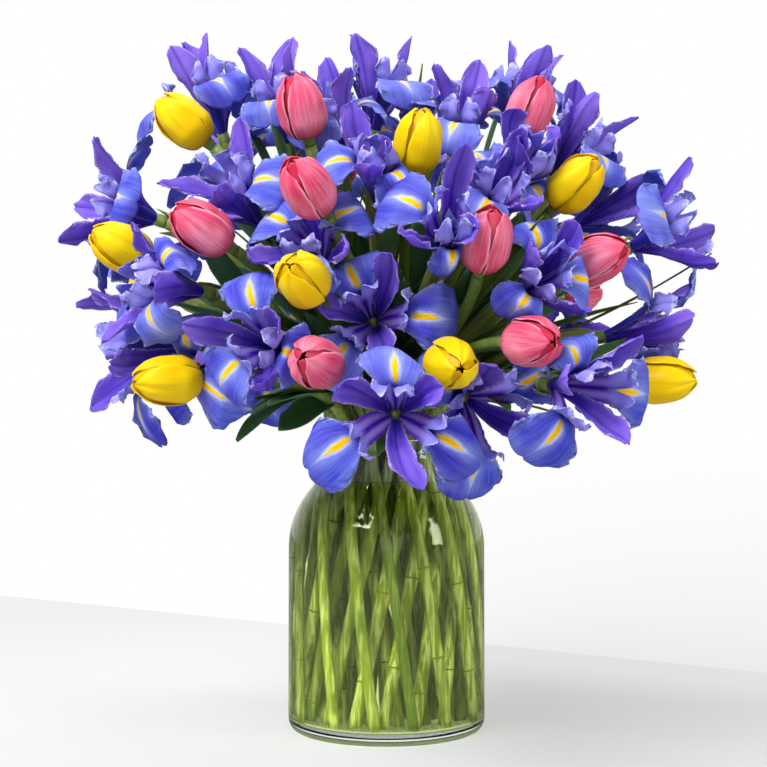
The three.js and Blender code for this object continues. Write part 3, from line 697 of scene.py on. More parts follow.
STANDARD = Petal(
    surface=Surface.STANDARD,
    start=(3, 1),
    length=74,
    stations=(0.36, 0.72, 1),
    solid_half=((0, 2.8), (0.36, 9.5), (0.72, 14.5), (1, 0)),
    solid_cup=((0, 0.2), (1, 0.25)),
    open=((0, 0.45), (0.36, 1), (1, 0.75)),
    shut=((0, 0.45), (0.36, 1), (1, 0.75)),
    half=((0, 2.4), (0.15, 3.6), (0.36, 6.2), (0.58, 8.8), (0.76, 10.2), (0.88, 9.4), (1, 5.5)),
    cup=((0, 0.4), (0.4, 0.65), (0.8, 0.5), (1, 0.3)),
    wedge=0.5,
    splayed=True,
    draw=0.2,
    sway=0,
    twist=70,
    round_end=0.2,
    ruffle=((0, 0), (0.3, 0.4), (0.6, 1.1), (0.85, 1.7), (1, 1.4)),
    waves=3.7,
    rib=-0.8,
    fringe=0.03,
    frill=0.8,
    drift=26,
    rows=32,
    columns=11,
)
ARM = Petal(
    surface=Surface.ARM,
    start=(1.5, 4),
    length=48,
    stations=(0.45, 1),
    solid_half=((0, 4), (0.45, 10), (1, 11.5)),
    solid_cup=((0, -0.2), (0.45, -0.25), (1, -0.1)),
    open=((0, 26), (0.45, 42), (0.8, 46), (1, 10)),
    shut=((0, 6), (0.45, 14), (0.8, 20), (1, -20)),
    half=((0, 3.6), (0.2, 6.2), (0.45, 8.2), (0.72, 9.2), (0.86, 12), (1.0, 14.5), (1.2, 13)),
    cup=((0, -0.3), (0.5, -0.34), (0.75, -0.22), (1, 0.05)),
    wedge=0.62,
    horns=8,
    round_end=0.2,
    notch=0.3,
    notch_width=0.16,
    ruffle=((0, 0), (0.6, 0.2), (0.78, 1.4), (1.2, 3.4)),
    waves=5.5,
    rib=0.9,
    fringe=0.05,
    frill=2.2,
    crowd=1.5,
    rows=28,
    columns=17,
)
# Below this height petals keep to a wedge of the bloom, and above it they widen freely.
WEDGE_HEIGHT = 34.0
WEDGE_FADE = 12.0
# How far a petal's solid may stand out of the bloom's room, and how far the room gives way in the scene.
SLACK = 12.0
LOOSE = 12.0


@dataclass
class Iris:
    """One iris bloom: three falls, three style arms over them, three standards between, and an ovary."""

    LENGTHS = (1, 0.9, 0.8, 0.7, 0.6)
    CLOSINGS = (0, 0.15, 0.3, 0.45, 0.6, 0.75, 0.9, 1)
    STEP = 0.02

    bloom: Bloom
    thick: float = 0.5

    def bend(self, form: Petal, number: int, close: float) -> Bend:
        """How one petal bends.

        Args:
            form: the kind of petal.
            number: which of its kind it is.
            close: how far it is drawn in, from 0 to 1.

        Returns:
            A function from a share of the way to the petal's angle from the axis, in degrees.
        """
        splay = self.bloom.splay if form.splayed else 1.0
        sway = (chance(self.bloom.index * 9 + number) - 0.5) * form.sway

        def angle(place: float) -> float:
            """The angle at one place, between the open bend and the drawn one.

            Args:
                place: the share of the way along the petal.

            Returns:
                The angle from the axis, in degrees.
            """
            opened = splay * read(form.open, place) + sway * place
            shut = splay * form.draw * read(form.shut, place)
            return opened * (1 - close) + shut * close

        return angle

    def trail(
        self, form: Petal, bend: Bend, long: float, until: float = 1.0
    ) -> tuple[Array, Array, Array, Array]:
        """The middle line of a petal.

        Args:
            form: the kind of petal.
            bend: its angle from the axis at a share of the way.
            long: its length beside the full one.
            until: how far the line is followed, where 1 is the end of the solid one.

        Returns:
            Shares of the way, and the distance from the axis, height and bend there.
        """
        middles = np.arange(self.STEP / 2, until, self.STEP)
        angles = np.radians([bend(min(m, 1.0)) for m in middles])
        stride = form.length * long * self.STEP
        radial = form.start[0] + np.concatenate([[0], np.cumsum(stride * np.sin(angles))])
        height = form.start[1] + np.concatenate([[0], np.cumsum(stride * np.cos(angles))])
        shares = np.arange(len(radial)) * self.STEP
        return shares, radial, height, np.radians([bend(min(s, 1.0)) for s in shares])

    def sections(self, form: Petal, azimuth: float, bend: Bend, long: float, twist: float) -> Array:
        """The few points of the plain solid petal, as in the part's source.

        Args:
            form: the kind of petal.
            azimuth: its side of the bloom.
            bend: its angle from the axis at a share of the way.
            long: its length beside the full one.
            twist: its twist in degrees.

        Returns:
            The points in the bunch.
        """
        shares, radials, heights, _ = self.trail(form, bend, long)
        found = []
        for station in form.stations:
            radial, height = np.interp(station, shares, radials), np.interp(station, shares, heights)
            angle = math.radians(bend(station))
            widest = form.wedge * radial if height < WEDGE_HEIGHT else math.inf
            half = min(read(form.solid_half, station), widest)
            lift = half * read(form.solid_cup, station)
            roll = math.radians(twist * station)
            horn = form.horns if station == 1 else 0
            found.append((radial, height, 0.0))
            for side in (1, -1):
                across = side * half * math.cos(roll) - lift * math.sin(roll)
                inward = side * half * math.sin(roll) + lift * math.cos(roll)
                far = radial - inward * math.cos(angle) + horn * math.sin(angle)
                high = height + inward * math.sin(angle) + horn * math.cos(angle)
                found.append((far, high, across))
        radial, height, across = np.array(found).T
        return self.bloom.place(radial, azimuth, height, across)

    def fit(
        self, form: Petal, azimuth: float, number: int, least: float
    ) -> tuple[Bend, float, float, float]:
        """How far a petal opens: drawn in, then shortened, until little of its solid is outside the room.

        Args:
            form: the kind of petal.
            azimuth: its side of the bloom.
            number: which of its kind it is.
            least: the least that it is drawn in.

        Returns:
            Its bend, its length beside the full one, its twist, and how far it is drawn in.
        """
        twist = (chance(self.bloom.index * 9 + number + 3) - 0.5) * form.twist
        closings = [close for close in self.CLOSINGS if close >= least]
        for long, close in itertools.product(self.LENGTHS, closings):
            bend = self.bend(form, number, close)
            if self.bloom.outside(self.sections(form, azimuth, bend, long, twist)) <= SLACK:
                break
        return bend, long, twist, close

    @staticmethod
    def tip(form: Petal, v: Array, seed: int) -> Array:
        """The outline of a petal's end.

        Args:
            form: the kind of petal.
            v: from -1 to 1 across, for each point.
            seed: the petal's own number, for its chances.

        Returns:
            How far each point's column reaches: rounded, notched, a little frilled and lopsided.
        """
        lopsided = (chance(seed) - 0.5) * 0.12
        end = 1 - form.round_end * (1 - np.sqrt(np.clip(1 - 0.97 * v**2, 0, 1)))
        end = end * (1 + 0.012 * form.frill * np.sin(9 * v + 7 * chance(seed + 8)))
        return end * (1 - form.notch * np.exp(-((v / form.notch_width) ** 2))) * (1 + lopsided * v)

    @staticmethod
    def relief(form: Petal, grid: tuple[Array, Array, Array], half: Array, wave: Array, seed: int) -> Array:
        """How far the points of a petal stand off its middle surface.

        Args:
            form: the kind of petal.
            grid: each point's row, its place across and its share of the way.
            half: half the width there.
            wave: the phase of the ruffles there.
            seed: the petal's own number, for its chances.

        Returns:
            The sum of its cup, ruffles, midrib, crinkled end and one slow swell.
        """
        u, v, s = grid
        edge = np.abs(v)
        cup = half * flow(form.cup, np.minimum(s, 1)) * edge**1.7
        ruffle = read(form.ruffle, s) * (np.sin(wave) + 0.5 * np.sin(2.3 * wave + 5 * chance(seed + 3)))
        rib = form.rib * np.exp(-((v / 0.1) ** 2)) * np.clip(s * 4, 0, 1)
        crinkle = form.frill * np.clip(u * 4 - 3, 0, 1) * np.sin(8 * v + 6 * chance(seed + 5))
        swell = 1.3 * np.sin(2 * math.pi * (1.3 * s + chance(seed + 4))) * np.clip(s * 2 - 0.5, 0, 1)
        return cup + ruffle * edge**2.4 + rib + crinkle + swell

    def add_petal(self, pile: Pile, form: Petal, azimuth: float, number: int, least: float = 0) -> float:
        """Adds one petal, ruffled, cupped and ribbed, in the place of its solid.

        Args:
            pile: the mesh that it is added to.
            form: the kind of petal.
            azimuth: its side of the bloom.
            number: which of its kind it is, for its own chances.
            least: the least that it is drawn in.

        Returns:
            How far it is drawn in.
        """
        bend, long, twist, close = self.fit(form, azimuth, number, least)
        seed = self.bloom.index * 31 + number * 7 + len(form.stations) * 3
        extent = 1 + form.horns / form.length
        shares, radials, heights, bends = self.trail(form, bend, long, extent)
        rise = 1 - (1 - np.linspace(0, 1, form.rows)) ** form.crowd
        u, v = np.meshgrid(rise, np.linspace(1, -1, form.columns), indexing="ij")
        s = extent * u * self.tip(form, v, seed)
        radial, height = np.interp(s, shares, radials), np.interp(s, shares, heights)
        angle = np.interp(s, shares, bends)
        half = flow(form.half, np.minimum(s, form.half[-1][0])) * (0.94 + 0.12 * chance(seed + 1))
        low = np.clip((WEDGE_HEIGHT - height) / WEDGE_FADE, 0, 1)
        half = half * (1 - low) + np.minimum(half, form.wedge * radial + 1.2) * low
        wave = 2 * math.pi * (form.waves * s + 0.25 * np.sign(v) + chance(seed + 2))
        lift = self.relief(form, (u, v, s), half, wave, seed)
        roll = np.radians(twist * s)
        frill = np.sin(wave * 1.7) + 0.7 * np.sin(wave * 3.1 + 2)
        across = half * v * (1 + form.fringe * frill * v**4 * np.clip(s * 3 - 1, 0, 1))
        sideways = across * np.cos(roll) - lift * np.sin(roll)
        inward = across * np.sin(roll) + lift * np.cos(roll)
        aside = (0.5 - chance(self.bloom.index * 9 + number + 6)) * form.drift
        drift = aside * np.clip(s / 0.7 - 0.43, 0, 1) ** 2
        spine = self.bloom.place(radial, azimuth, height, drift)
        points = self.bloom.place(
            radial - inward * np.cos(angle), azimuth, height + inward * np.sin(angle), sideways + drift
        )
        points = points + self.bloom.pressed(spine, LOOSE) - spine
        points = self.bloom.pressed(points, 2 * LOOSE)
        pile.add_sheet(points, s, v, half, form.surface, chance(seed + 6), self.thick)
        return close

    def add_ovary(self, pile: Pile) -> None:
        """Adds the smooth green ovary that the petals stand on.

        Args:
            pile: the mesh that it is added to.
        """
        heights = np.linspace(-Bloom.BASE, 9, 9)
        radii = flow([(-Bloom.BASE, 4.3), (-2, 4.8), (2, 4.4), (6, 3.0), (9, 1.2)], heights)
        path = self.bloom.seat + heights[:, None] * self.bloom.z
        pile.add_tube(path, radii, 12, Surface.OVARY, 0.5)

    def build(self, finishes: dict[Surface, bpy.types.Material]) -> bpy.types.Object:
        """Makes the bloom as one piece.

        Args:
            finishes: the material of each surface.

        Returns:
            The bloom's object.
        """
        pile = Pile()
        for j in range(3):
            azimuth = self.bloom.turn + j * 2 * math.pi / 3
            drawn = self.add_petal(pile, FALL, azimuth, j)
            self.add_petal(pile, ARM, azimuth, j, drawn)
            self.add_petal(pile, STANDARD, azimuth + math.pi / 3, j)
        self.add_ovary(pile)
        return pile.build(self.bloom.name + "_bloom", finishes)


@dataclass
class Tulip:
    """One closed tulip: three pointed outer petals, and three wide inner ones that show between them."""

    OUTER_HALF = (
        (0, 3), (0.08, 8), (0.2, 13.5), (0.4, 16.6), (0.6, 15.6), (0.78, 11.5), (0.9, 7), (1, 2)
    )
    INNER_HALF = ((0, 3), (0.08, 8), (0.2, 13), (0.4, 16.5), (0.6, 17), (0.8, 14), (0.92, 9), (1, 4))
    BELLY = ((0, 0.12), (0.06, 0.46), (0.16, 0.78), (0.34, 1.0), (0.55, 1.0), (0.74, 0.86))
    RISE = ((0, 0.0), (0.06, 0.02), (0.16, 0.12), (0.5, 0.48), (0.85, 0.86), (1, 1.0))

    bloom: Bloom
    radius: float = 15.2
    length: float = 45.5
    rows: int = 22
    columns: int = 15
    thick: float = 0.8

    def add_petal(self, pile: Pile, number: int, surface: Surface) -> None:
        """Adds one petal of the cup.

        Args:
            pile: the mesh that it is added to.
            number: which petal it is; even numbers are outer ones.
            surface: what its faces are.
        """
        seed = self.bloom.index * 17 + number * 5 + 900
        outer = number % 2 == 0
        u, v = np.meshgrid(np.linspace(0, 1, self.rows), np.linspace(1, -1, self.columns), indexing="ij")
        edge = np.abs(v)
        end = 1 - (0.16 if outer else 0.26) * edge**2.2
        s = u * end * (0.96 + 0.05 * chance(seed)) * (1.0 if outer else 0.97)
        mouth = (0.38 - 0.3 * self.bloom.closed if outer else 0.02) + 0.08 * chance(seed + 1)
        near_tip = (0.64 - 0.14 * self.bloom.closed) if outer else 0.42
        share = flow([*self.BELLY, (0.88, near_tip), (1, mouth)], s)
        height = self.length * flow(self.RISE, s)
        half = flow(self.OUTER_HALF if outer else self.INNER_HALF, s) * self.radius / 15
        spin = math.radians(6 + 6 * chance(seed + 2))
        upper = np.clip(s * 4 - 0.4, 0, 1)
        radial = self.radius * share * (1.05 if outer else 0.9)
        around = half * v / np.maximum(radial, 2.6)
        crease = 0.9 * np.exp(-((v / 0.1) ** 2)) * np.clip(s * 3 - 0.6, 0, 1)
        dent = 0.8 * np.exp(-(((v - 0.35 + 0.5 * chance(seed + 5)) / 0.16) ** 2))
        dent = dent * np.clip(s * 3 - 1.2, 0, 1)
        radial = radial - crease - dent + (0.9 if outer else 0.4) * v * np.clip(s * 2, 0, 1)
        rim = (1.6 if outer else 1.2) * edge**2.2 - (0.9 if outer else 0.3) * edge**10
        radial = radial - rim * upper
        radial = radial + 0.5 * np.sin(2 * math.pi * (1.6 * s + v * 0.8 + chance(seed + 3))) * edge**2
        radial = np.maximum(radial, 0.5)
        first = self.bloom.turn + chance(self.bloom.index + 50) * 2
        azimuth = first + number * math.pi / 3 + around + spin * s
        points = self.bloom.place(radial, azimuth, height)
        # Inner petals take a tone of 0.6 and more, so that their finish paints them deeper, as painted
        # shade inside the cup.
        tone = 0.4 * chance(seed + 4) + (0.0 if outer else 0.6)
        pile.add_sheet(points, s, v, half, surface, tone, self.thick)

    def build(self, finishes: dict[Surface, bpy.types.Material]) -> bpy.types.Object:
        """Makes the bloom as one piece.

        Args:
            finishes: the material of each surface.

        Returns:
            The bloom's object.
        """
        surface = Surface.YELLOW if self.bloom.colour == "yellow" else Surface.PINK
        pile = Pile()
        for number in range(6):
            self.add_petal(pile, number, surface)
        heights = np.linspace(-Bloom.BASE, 3, 6)
        radii = flow([(-Bloom.BASE, 3.6), (-2, 4.2), (1, 4.6), (3, 2.5)], heights)
        pile.add_tube(self.bloom.seat + heights[:, None] * self.bloom.z, radii, 12, Surface.TULIP_STEM, 0.8)
        pistil = self.bloom.seat + np.linspace(2, 26, 6)[:, None] * self.bloom.z
        pile.add_tube(pistil, np.array([2.4, 2.6, 2.7, 2.8, 3.4, 2.2]), 10, Surface.TULIP_STEM, 0.9)
        return pile.build(self.bloom.name + "_bloom", finishes)


# Stems and leaves.


@dataclass
class Greenery:
    """The stems in the water, the sheaths under the irises, and the leaves."""

    BLADE = ((0, 0.3), (0.12, 0.5), (0.4, 1.0), (0.72, 0.78), (0.92, 0.3), (1, 0.03))
    SHEATHS = ((74, 10), (58, 3))
    WRAP = ((0, 1.5), (0.3, 1.9), (0.7, 1.7), (1, 0.12))
    NARROW_LEAF, BROAD_LEAF = 12, 22
    IRIS_LEAF_UNDER = 15

    plan: Plan
    iris_radius: float = 4.4
    tulip_radius: float = 4.0
    joint_spacing: float = 64.0
    bow: float = 6.0
    sides: int = 12
    fold: float = 0.28

    def stem_path(self, i: int) -> tuple[Array, Array, Array]:
        """One stem from its cut end up to its bloom.

        Args:
            i: the number of its bloom.

        Returns:
            The points of its middle line, the radius there, and how strongly a joint marks it there.
        """
        bloom = self.plan.blooms[i]
        top, heart, neck, foot = self.plan.lines[i]
        iris = bloom.colour == "iris"
        length = np.linalg.norm(neck - foot)
        low = np.linspace(0, 1, 24)
        joints = np.zeros(0)
        if iris:
            joints = (np.arange(3) + 0.25 + 0.6 * chance(i * 3 + 500)) * self.joint_spacing / length
            joints = joints[joints < 0.97]
            around = np.array([-0.011, -0.005, 0, 0.004, 0.012])
            low = np.unique(np.concatenate([low] + [joint + around for joint in joints]).clip(0, 1))
        out = np.append((neck + foot)[:2], 0)
        bow = unit(out) * self.bow * np.linalg.norm(out) / 105
        lower = foot + low[:, None] * (neck - foot) + np.sin(low * math.pi)[:, None] * bow
        reach = np.linalg.norm(top - heart)
        steer = [neck, heart + (heart - neck) * 0.2, top - bloom.z * min(55, 0.45 * reach), top]
        upper = bezier(steer, np.linspace(0, 1, 30)[1:])
        path = np.concatenate([lower, upper])
        radius = self.iris_radius if iris else self.tulip_radius
        radii = np.full(len(path), radius * (0.9 + 0.16 * chance(i + 90)))
        mark = np.zeros(len(path))
        for joint in joints:
            gap = np.abs(low - joint) * length
            radii[: len(low)] += 0.55 * np.exp(-((gap / 2.4) ** 2))
            mark[: len(low)] = np.maximum(mark[: len(low)], np.exp(-((gap / 0.8) ** 2)))
        radii[0] *= 0.93
        radii[-6:] *= np.linspace(1, 1.08, 6)
        return path, radii, mark

    def add_blade(
        self,
        pile: Pile,
        curve: Sequence[Array],
        width: float,
        surface: Surface,
        tone: float,
        rows: int = 22,
    ) -> None:
        """Adds a leaf blade along a curve, folded a little along its midrib and waved at its edges.

        Args:
            pile: the mesh that it is added to.
            curve: the points that steer its midrib.
            width: its greatest width.
            surface: what kind of leaf it is.
            tone: its own tone, from 0 to 1.
            rows: how many rows of points it has.
        """
        t = np.linspace(0, 1, rows)
        path = bezier(curve, t)
        tangent = np.gradient(path, axis=0)
        tangent /= np.linalg.norm(tangent, axis=1, keepdims=True)
        side = np.cross([0.0, 0.0, 1.0], tangent)
        side /= np.linalg.norm(side, axis=1, keepdims=True) + 1e-9
        lift = np.cross(tangent, side)
        v = np.linspace(1, -1, 9)
        half = width / 2 * flow(self.BLADE, t)
        grid_t, grid_v = np.meshgrid(t, v, indexing="ij")
        grid_half = np.broadcast_to(half[:, None], grid_t.shape)
        wave = 0.06 * width * np.sin(2 * math.pi * (1.4 * grid_t + tone)) * np.sign(grid_v) * grid_v**2
        up = grid_half * self.fold * np.abs(grid_v) ** 1.3 + wave
        roll = (0.5 * math.sin(tone * 40)) * grid_t
        a = grid_half * grid_v
        points = (
            path[:, None]
            + (a * np.cos(roll) - up * np.sin(roll))[..., None] * side[:, None]
            + (a * np.sin(roll) + up * np.cos(roll))[..., None] * lift[:, None]
        )
        pile.add_sheet(points, grid_t, grid_v, grid_half, surface, tone, 0.9)

    def add_sheaths(self, pile: Pile, i: int) -> None:
        """Adds the two pointed sheaths that wrap the top of an iris's stem.

        Args:
            pile: the mesh that they are added to.
            i: the number of the bloom.
        """
        bloom = self.plan.blooms[i]
        path, _, _ = self.stem_path(i)
        for k, (down, over) in enumerate(self.SHEATHS):
            along = np.linspace(-down, over, 14)
            length = np.concatenate([[0], np.cumsum(np.linalg.norm(np.diff(path, axis=0), axis=1))])
            down_stem = length[-1] + np.minimum(along, 0)
            points = np.stack([np.interp(down_stem, length, path[:, c]) for c in range(3)], axis=1)
            points = points + np.maximum(along, 0)[:, None] * bloom.z
            t = (along + down) / (down + over)
            tangent = np.gradient(points, axis=0)
            tangent /= np.linalg.norm(tangent, axis=1, keepdims=True)
            side = np.cross(tangent, ASKEW)
            side /= np.linalg.norm(side, axis=1, keepdims=True)
            other = np.cross(tangent, side)
            v = np.linspace(1, -1, 9)
            wrap = flow(self.WRAP, t)
            radius = flow([(0, 4.4), (0.35, 6.2 + k), (0.75, 6.4 + k), (1, 7.6 + k)], t)
            angle = v[None] * wrap[:, None] + k * math.pi + i
            ring = np.cos(angle)[..., None] * side[:, None] + np.sin(angle)[..., None] * other[:, None]
            grid = points[:, None] + ring * radius[:, None, None]
            along_grid = np.broadcast_to(t[:, None], angle.shape)
            across_grid = np.broadcast_to(v[None], angle.shape)
            half = np.broadcast_to((wrap * radius)[:, None], angle.shape)
            pile.add_sheet(grid, along_grid, across_grid, half, Surface.SHEATH, chance(i * 5 + k + 30), 0.5)

    def build_stems(self, finishes: dict[Surface, bpy.types.Material]) -> bpy.types.Object:
        """Makes all stems and sheaths as one piece.

        Args:
            finishes: the material of each surface.

        Returns:
            The stems' object.
        """
        pile = Pile()
        for i, bloom in enumerate(self.plan.blooms):
            path, radii, mark = self.stem_path(i)
            surface = Surface.IRIS_STEM if bloom.colour == "iris" else Surface.TULIP_STEM
            pile.add_tube(path, radii, self.sides, surface, chance(i + 11), mark)
            if bloom.colour == "iris":
                self.add_sheaths(pile, i)
        return pile.build("stems", finishes)

    def build_leaves(self, finishes: dict[Surface, bpy.types.Material]) -> bpy.types.Object:
        """Makes the long leaves, and the shorter ones along the stems above the rim, as one piece.

        Args:
            finishes: the material of each surface.

        Returns:
            The leaves' object.
        """
        pile = Pile()
        for i, (tip, width, bow) in enumerate(LEAVES):
            end = np.array(tip, dtype=float)
            nearest = min(self.plan.lines, key=lambda line: np.linalg.norm(line[0] - end))
            start = nearest[1] + (nearest[0] - nearest[1]) * self.plan.LEAF_START
            bend = (start + end) / 2 + np.array(bow)
            surface = Surface.IRIS_LEAF if width < self.IRIS_LEAF_UNDER else Surface.TULIP_LEAF
            self.add_blade(pile, [start, bend, end], width, surface, chance(i + 200))
        for i, line in enumerate(self.plan.lines):
            for k in range(3):
                seed = i * 13 + k * 5
                start = line[1] + (line[0] - line[1]) * (0.02 + 0.2 * chance(seed))
                way = unit(line[0] - line[1])
                aside = unit(np.cross(way, [chance(seed + n) - 0.5 for n in (1, 2, 3)]))
                long = (0.5 + 0.12 * k + 0.2 * chance(seed + 4)) * np.linalg.norm(line[0] - line[1])
                end = start + way * long + aside * long * (0.16 + 0.2 * chance(seed + 5))
                bend = start + way * long * 0.5 + aside * long * 0.02
                wide = chance(seed + 6) > 0.5
                surface = Surface.TULIP_LEAF if wide else Surface.IRIS_LEAF
                width, tone = self.BROAD_LEAF if wide else self.NARROW_LEAF, chance(seed + 7)
                self.add_blade(pile, [start, bend, end], width, surface, tone, rows=12)
        return pile.build("leaves", finishes)


# Jar and water.


@dataclass
class Jar:
    """The clear glass jar and its water, drawn up ring by ring from the foot."""

    FLOOR_UNDER = 16

    sides: int = 96
    centre: float = 5.5
    shoulder: float = 67.0
    turn: float = 134.0
    wall: float = 3.5
    level: float = 183.0
    wet: float = 0.25

    def arc(self, radius: float, first: int, last: int) -> list[tuple[float, float]]:
        """Rings of the round shoulder.

        Args:
            radius: the arc's radius.
            first: the angle above level that it starts at, in degrees.
            last: the angle that it ends at.

        Returns:
            The radius and height of each ring.
        """
        step = 4 if last > first else -4
        angles = [math.radians(a) for a in range(first, last + (1 if step > 0 else -1), step)]
        return [(self.centre + radius * math.cos(a), self.turn + radius * math.sin(a)) for a in angles]

    def outer(self) -> list[tuple[float, float]]:
        """The outer side's rings, from the foot to the top of the rim.

        Returns:
            The radius and height of each ring.
        """
        return [
            (63.5, 0), (66.2, 0.5), (68.8, 1.8), (70.8, 3.9), (72.0, 6.6), (72.4, 9.5), (72.5, 14),
            (72.5, 60), (72.5, 120),
            *self.arc(self.shoulder, 2, 42),
            (54.2, 180.4), (53.5, 182.4), (53.2, 185), (53.1, 192), (53.1, 202.6), (53.4, 204.2),
            (54.4, 205.2), (55.2, 206.6), (55.4, 208.6), (55.3, 210.8), (54.8, 212.6), (53.8, 213.7),
            (52.6, 214),
        ]

    def inner(self, extra: float) -> list[tuple[float, float]]:
        """The inner side's rings, from the neck's foot to the floor.

        Args:
            extra: how many millimetres they are moved out.

        Returns:
            The radius and height of each ring.
        """
        rings = [
            (49.9, 184), (50.3, 181.8), (51.6, 178.8),
            *self.arc(self.shoulder - self.wall, 42, 2),
            (69, 120), (69, 60), (69, 20), (68.7, 16), (67.6, 12.8), (65.4, 10.4), (61.5, 8.9),
            (52, 8.2), (30, 7.6), (12, 7.4),
        ]
        return [(r + extra, z - (extra if z < self.FLOOR_UNDER else 0)) for r, z in rings]

    @staticmethod
    def put_in_order(parts: Sequence, key: Callable) -> None:
        """Sorts corners, edges or faces of a shape.

        Args:
            parts: the shape's own list of them.
            key: gives what each is sorted by.
        """
        parts.index_update()
        ranks = {part.index: rank for rank, part in enumerate(sorted(parts, key=key))}
        parts.sort(key=lambda part: ranks[part.index])
        parts.index_update()

    def settle(self, mesh: bpy.types.Mesh) -> None:
        """Numbers a mesh's parts by their places, because extruding leaves their order to chance.

        Args:
            mesh: the mesh, which keeps its shape.
        """
        shape = bmesh.new()
        shape.from_mesh(mesh)
        self.put_in_order(shape.verts, lambda corner: tuple(corner.co))
        for parts in (shape.edges, shape.faces):
            self.put_in_order(parts, lambda part: sorted(corner.index for corner in part.verts))
        shape.to_mesh(mesh)
        shape.free()

    def drawn(self, name: str, rings: Sequence[tuple[float, float]], sides: int) -> bpy.types.Object:
        """Draws a round closed shape from a cone's frustum whose top face is extruded from ring to ring.

        Args:
            name: the piece's name.
            rings: radius and height of each ring, in millimetres.
            sides: how many sides it has.

        Returns:
            The object, with its place in its mesh.
        """
        bpy.ops.object.select_all(action="DESELECT")
        (r0, z0), (r1, z1) = rings[:2]
        depth, middle = (z1 - z0) * MM, (0, 0, (z0 + z1) / 2 * MM)
        bpy.ops.mesh.primitive_cone_add(
            vertices=sides, radius1=r0 * MM, radius2=r1 * MM, depth=depth, location=middle
        )
        piece = bpy.context.object
        bpy.ops.object.transform_apply(location=True)
        bpy.ops.object.mode_set(mode="EDIT")
        bpy.ops.mesh.select_mode(type="FACE")
        bpy.ops.mesh.select_all(action="DESELECT")
        shape = bmesh.from_edit_mesh(piece.data)
        top = max(shape.faces, key=lambda f: f.calc_center_median().z)
        top.select = True
        bmesh.update_edit_mesh(piece.data)
        for (r0, z0), (r1, z1) in zip(rings[1:], rings[2:]):
            bpy.ops.mesh.extrude_region_move(TRANSFORM_OT_translate={"value": (0, 0, (z1 - z0) * MM)})
            bpy.ops.transform.resize(value=(r1 / r0, r1 / r0, 1), center_override=(0, 0, z1 * MM))
        bpy.ops.mesh.select_all(action="SELECT")
        bpy.ops.mesh.normals_make_consistent(inside=False)
        bpy.ops.object.mode_set(mode="OBJECT")
        self.settle(piece.data)
        piece.name = name
        piece.data.name = name
        piece.data.shade_smooth()
        return piece

    def build_glass(self, material: bpy.types.Material) -> bpy.types.Object:
        """Makes the jar: up the outer side, over the rim, down the inner side to the floor.

        Args:
            material: its glass.

        Returns:
            The jar's object.
        """
        rim = [(51.2, 213.8), (50.3, 212.9), (49.8, 211.2), (49.7, 206), (49.7, 196)]
        piece = self.drawn("glass_jar", [*self.outer(), *rim, *self.inner(0)], self.sides)
        piece.data.materials.append(material)
        return piece

    def build_water(self, material: bpy.types.Material) -> bpy.types.Object:
        """Makes the water, from its floor up to a surface that climbs the glass a little at its edge.

        Args:
            material: the water's.

        Returns:
            The water's object.
        """
        rings = [ring for ring in reversed(self.inner(self.wet)) if ring[1] < self.level - 1]
        edge = [(50.2, 0.9), (49.4, 0.3), (48, 0.05), (45, 0), (20, 0)]
        top = [(radius, self.level + climb) for radius, climb in edge]
        piece = self.drawn("jar_water", [*rings, *top], self.sides)
        piece.data.materials.append(material)
        return piece


# Finishes.


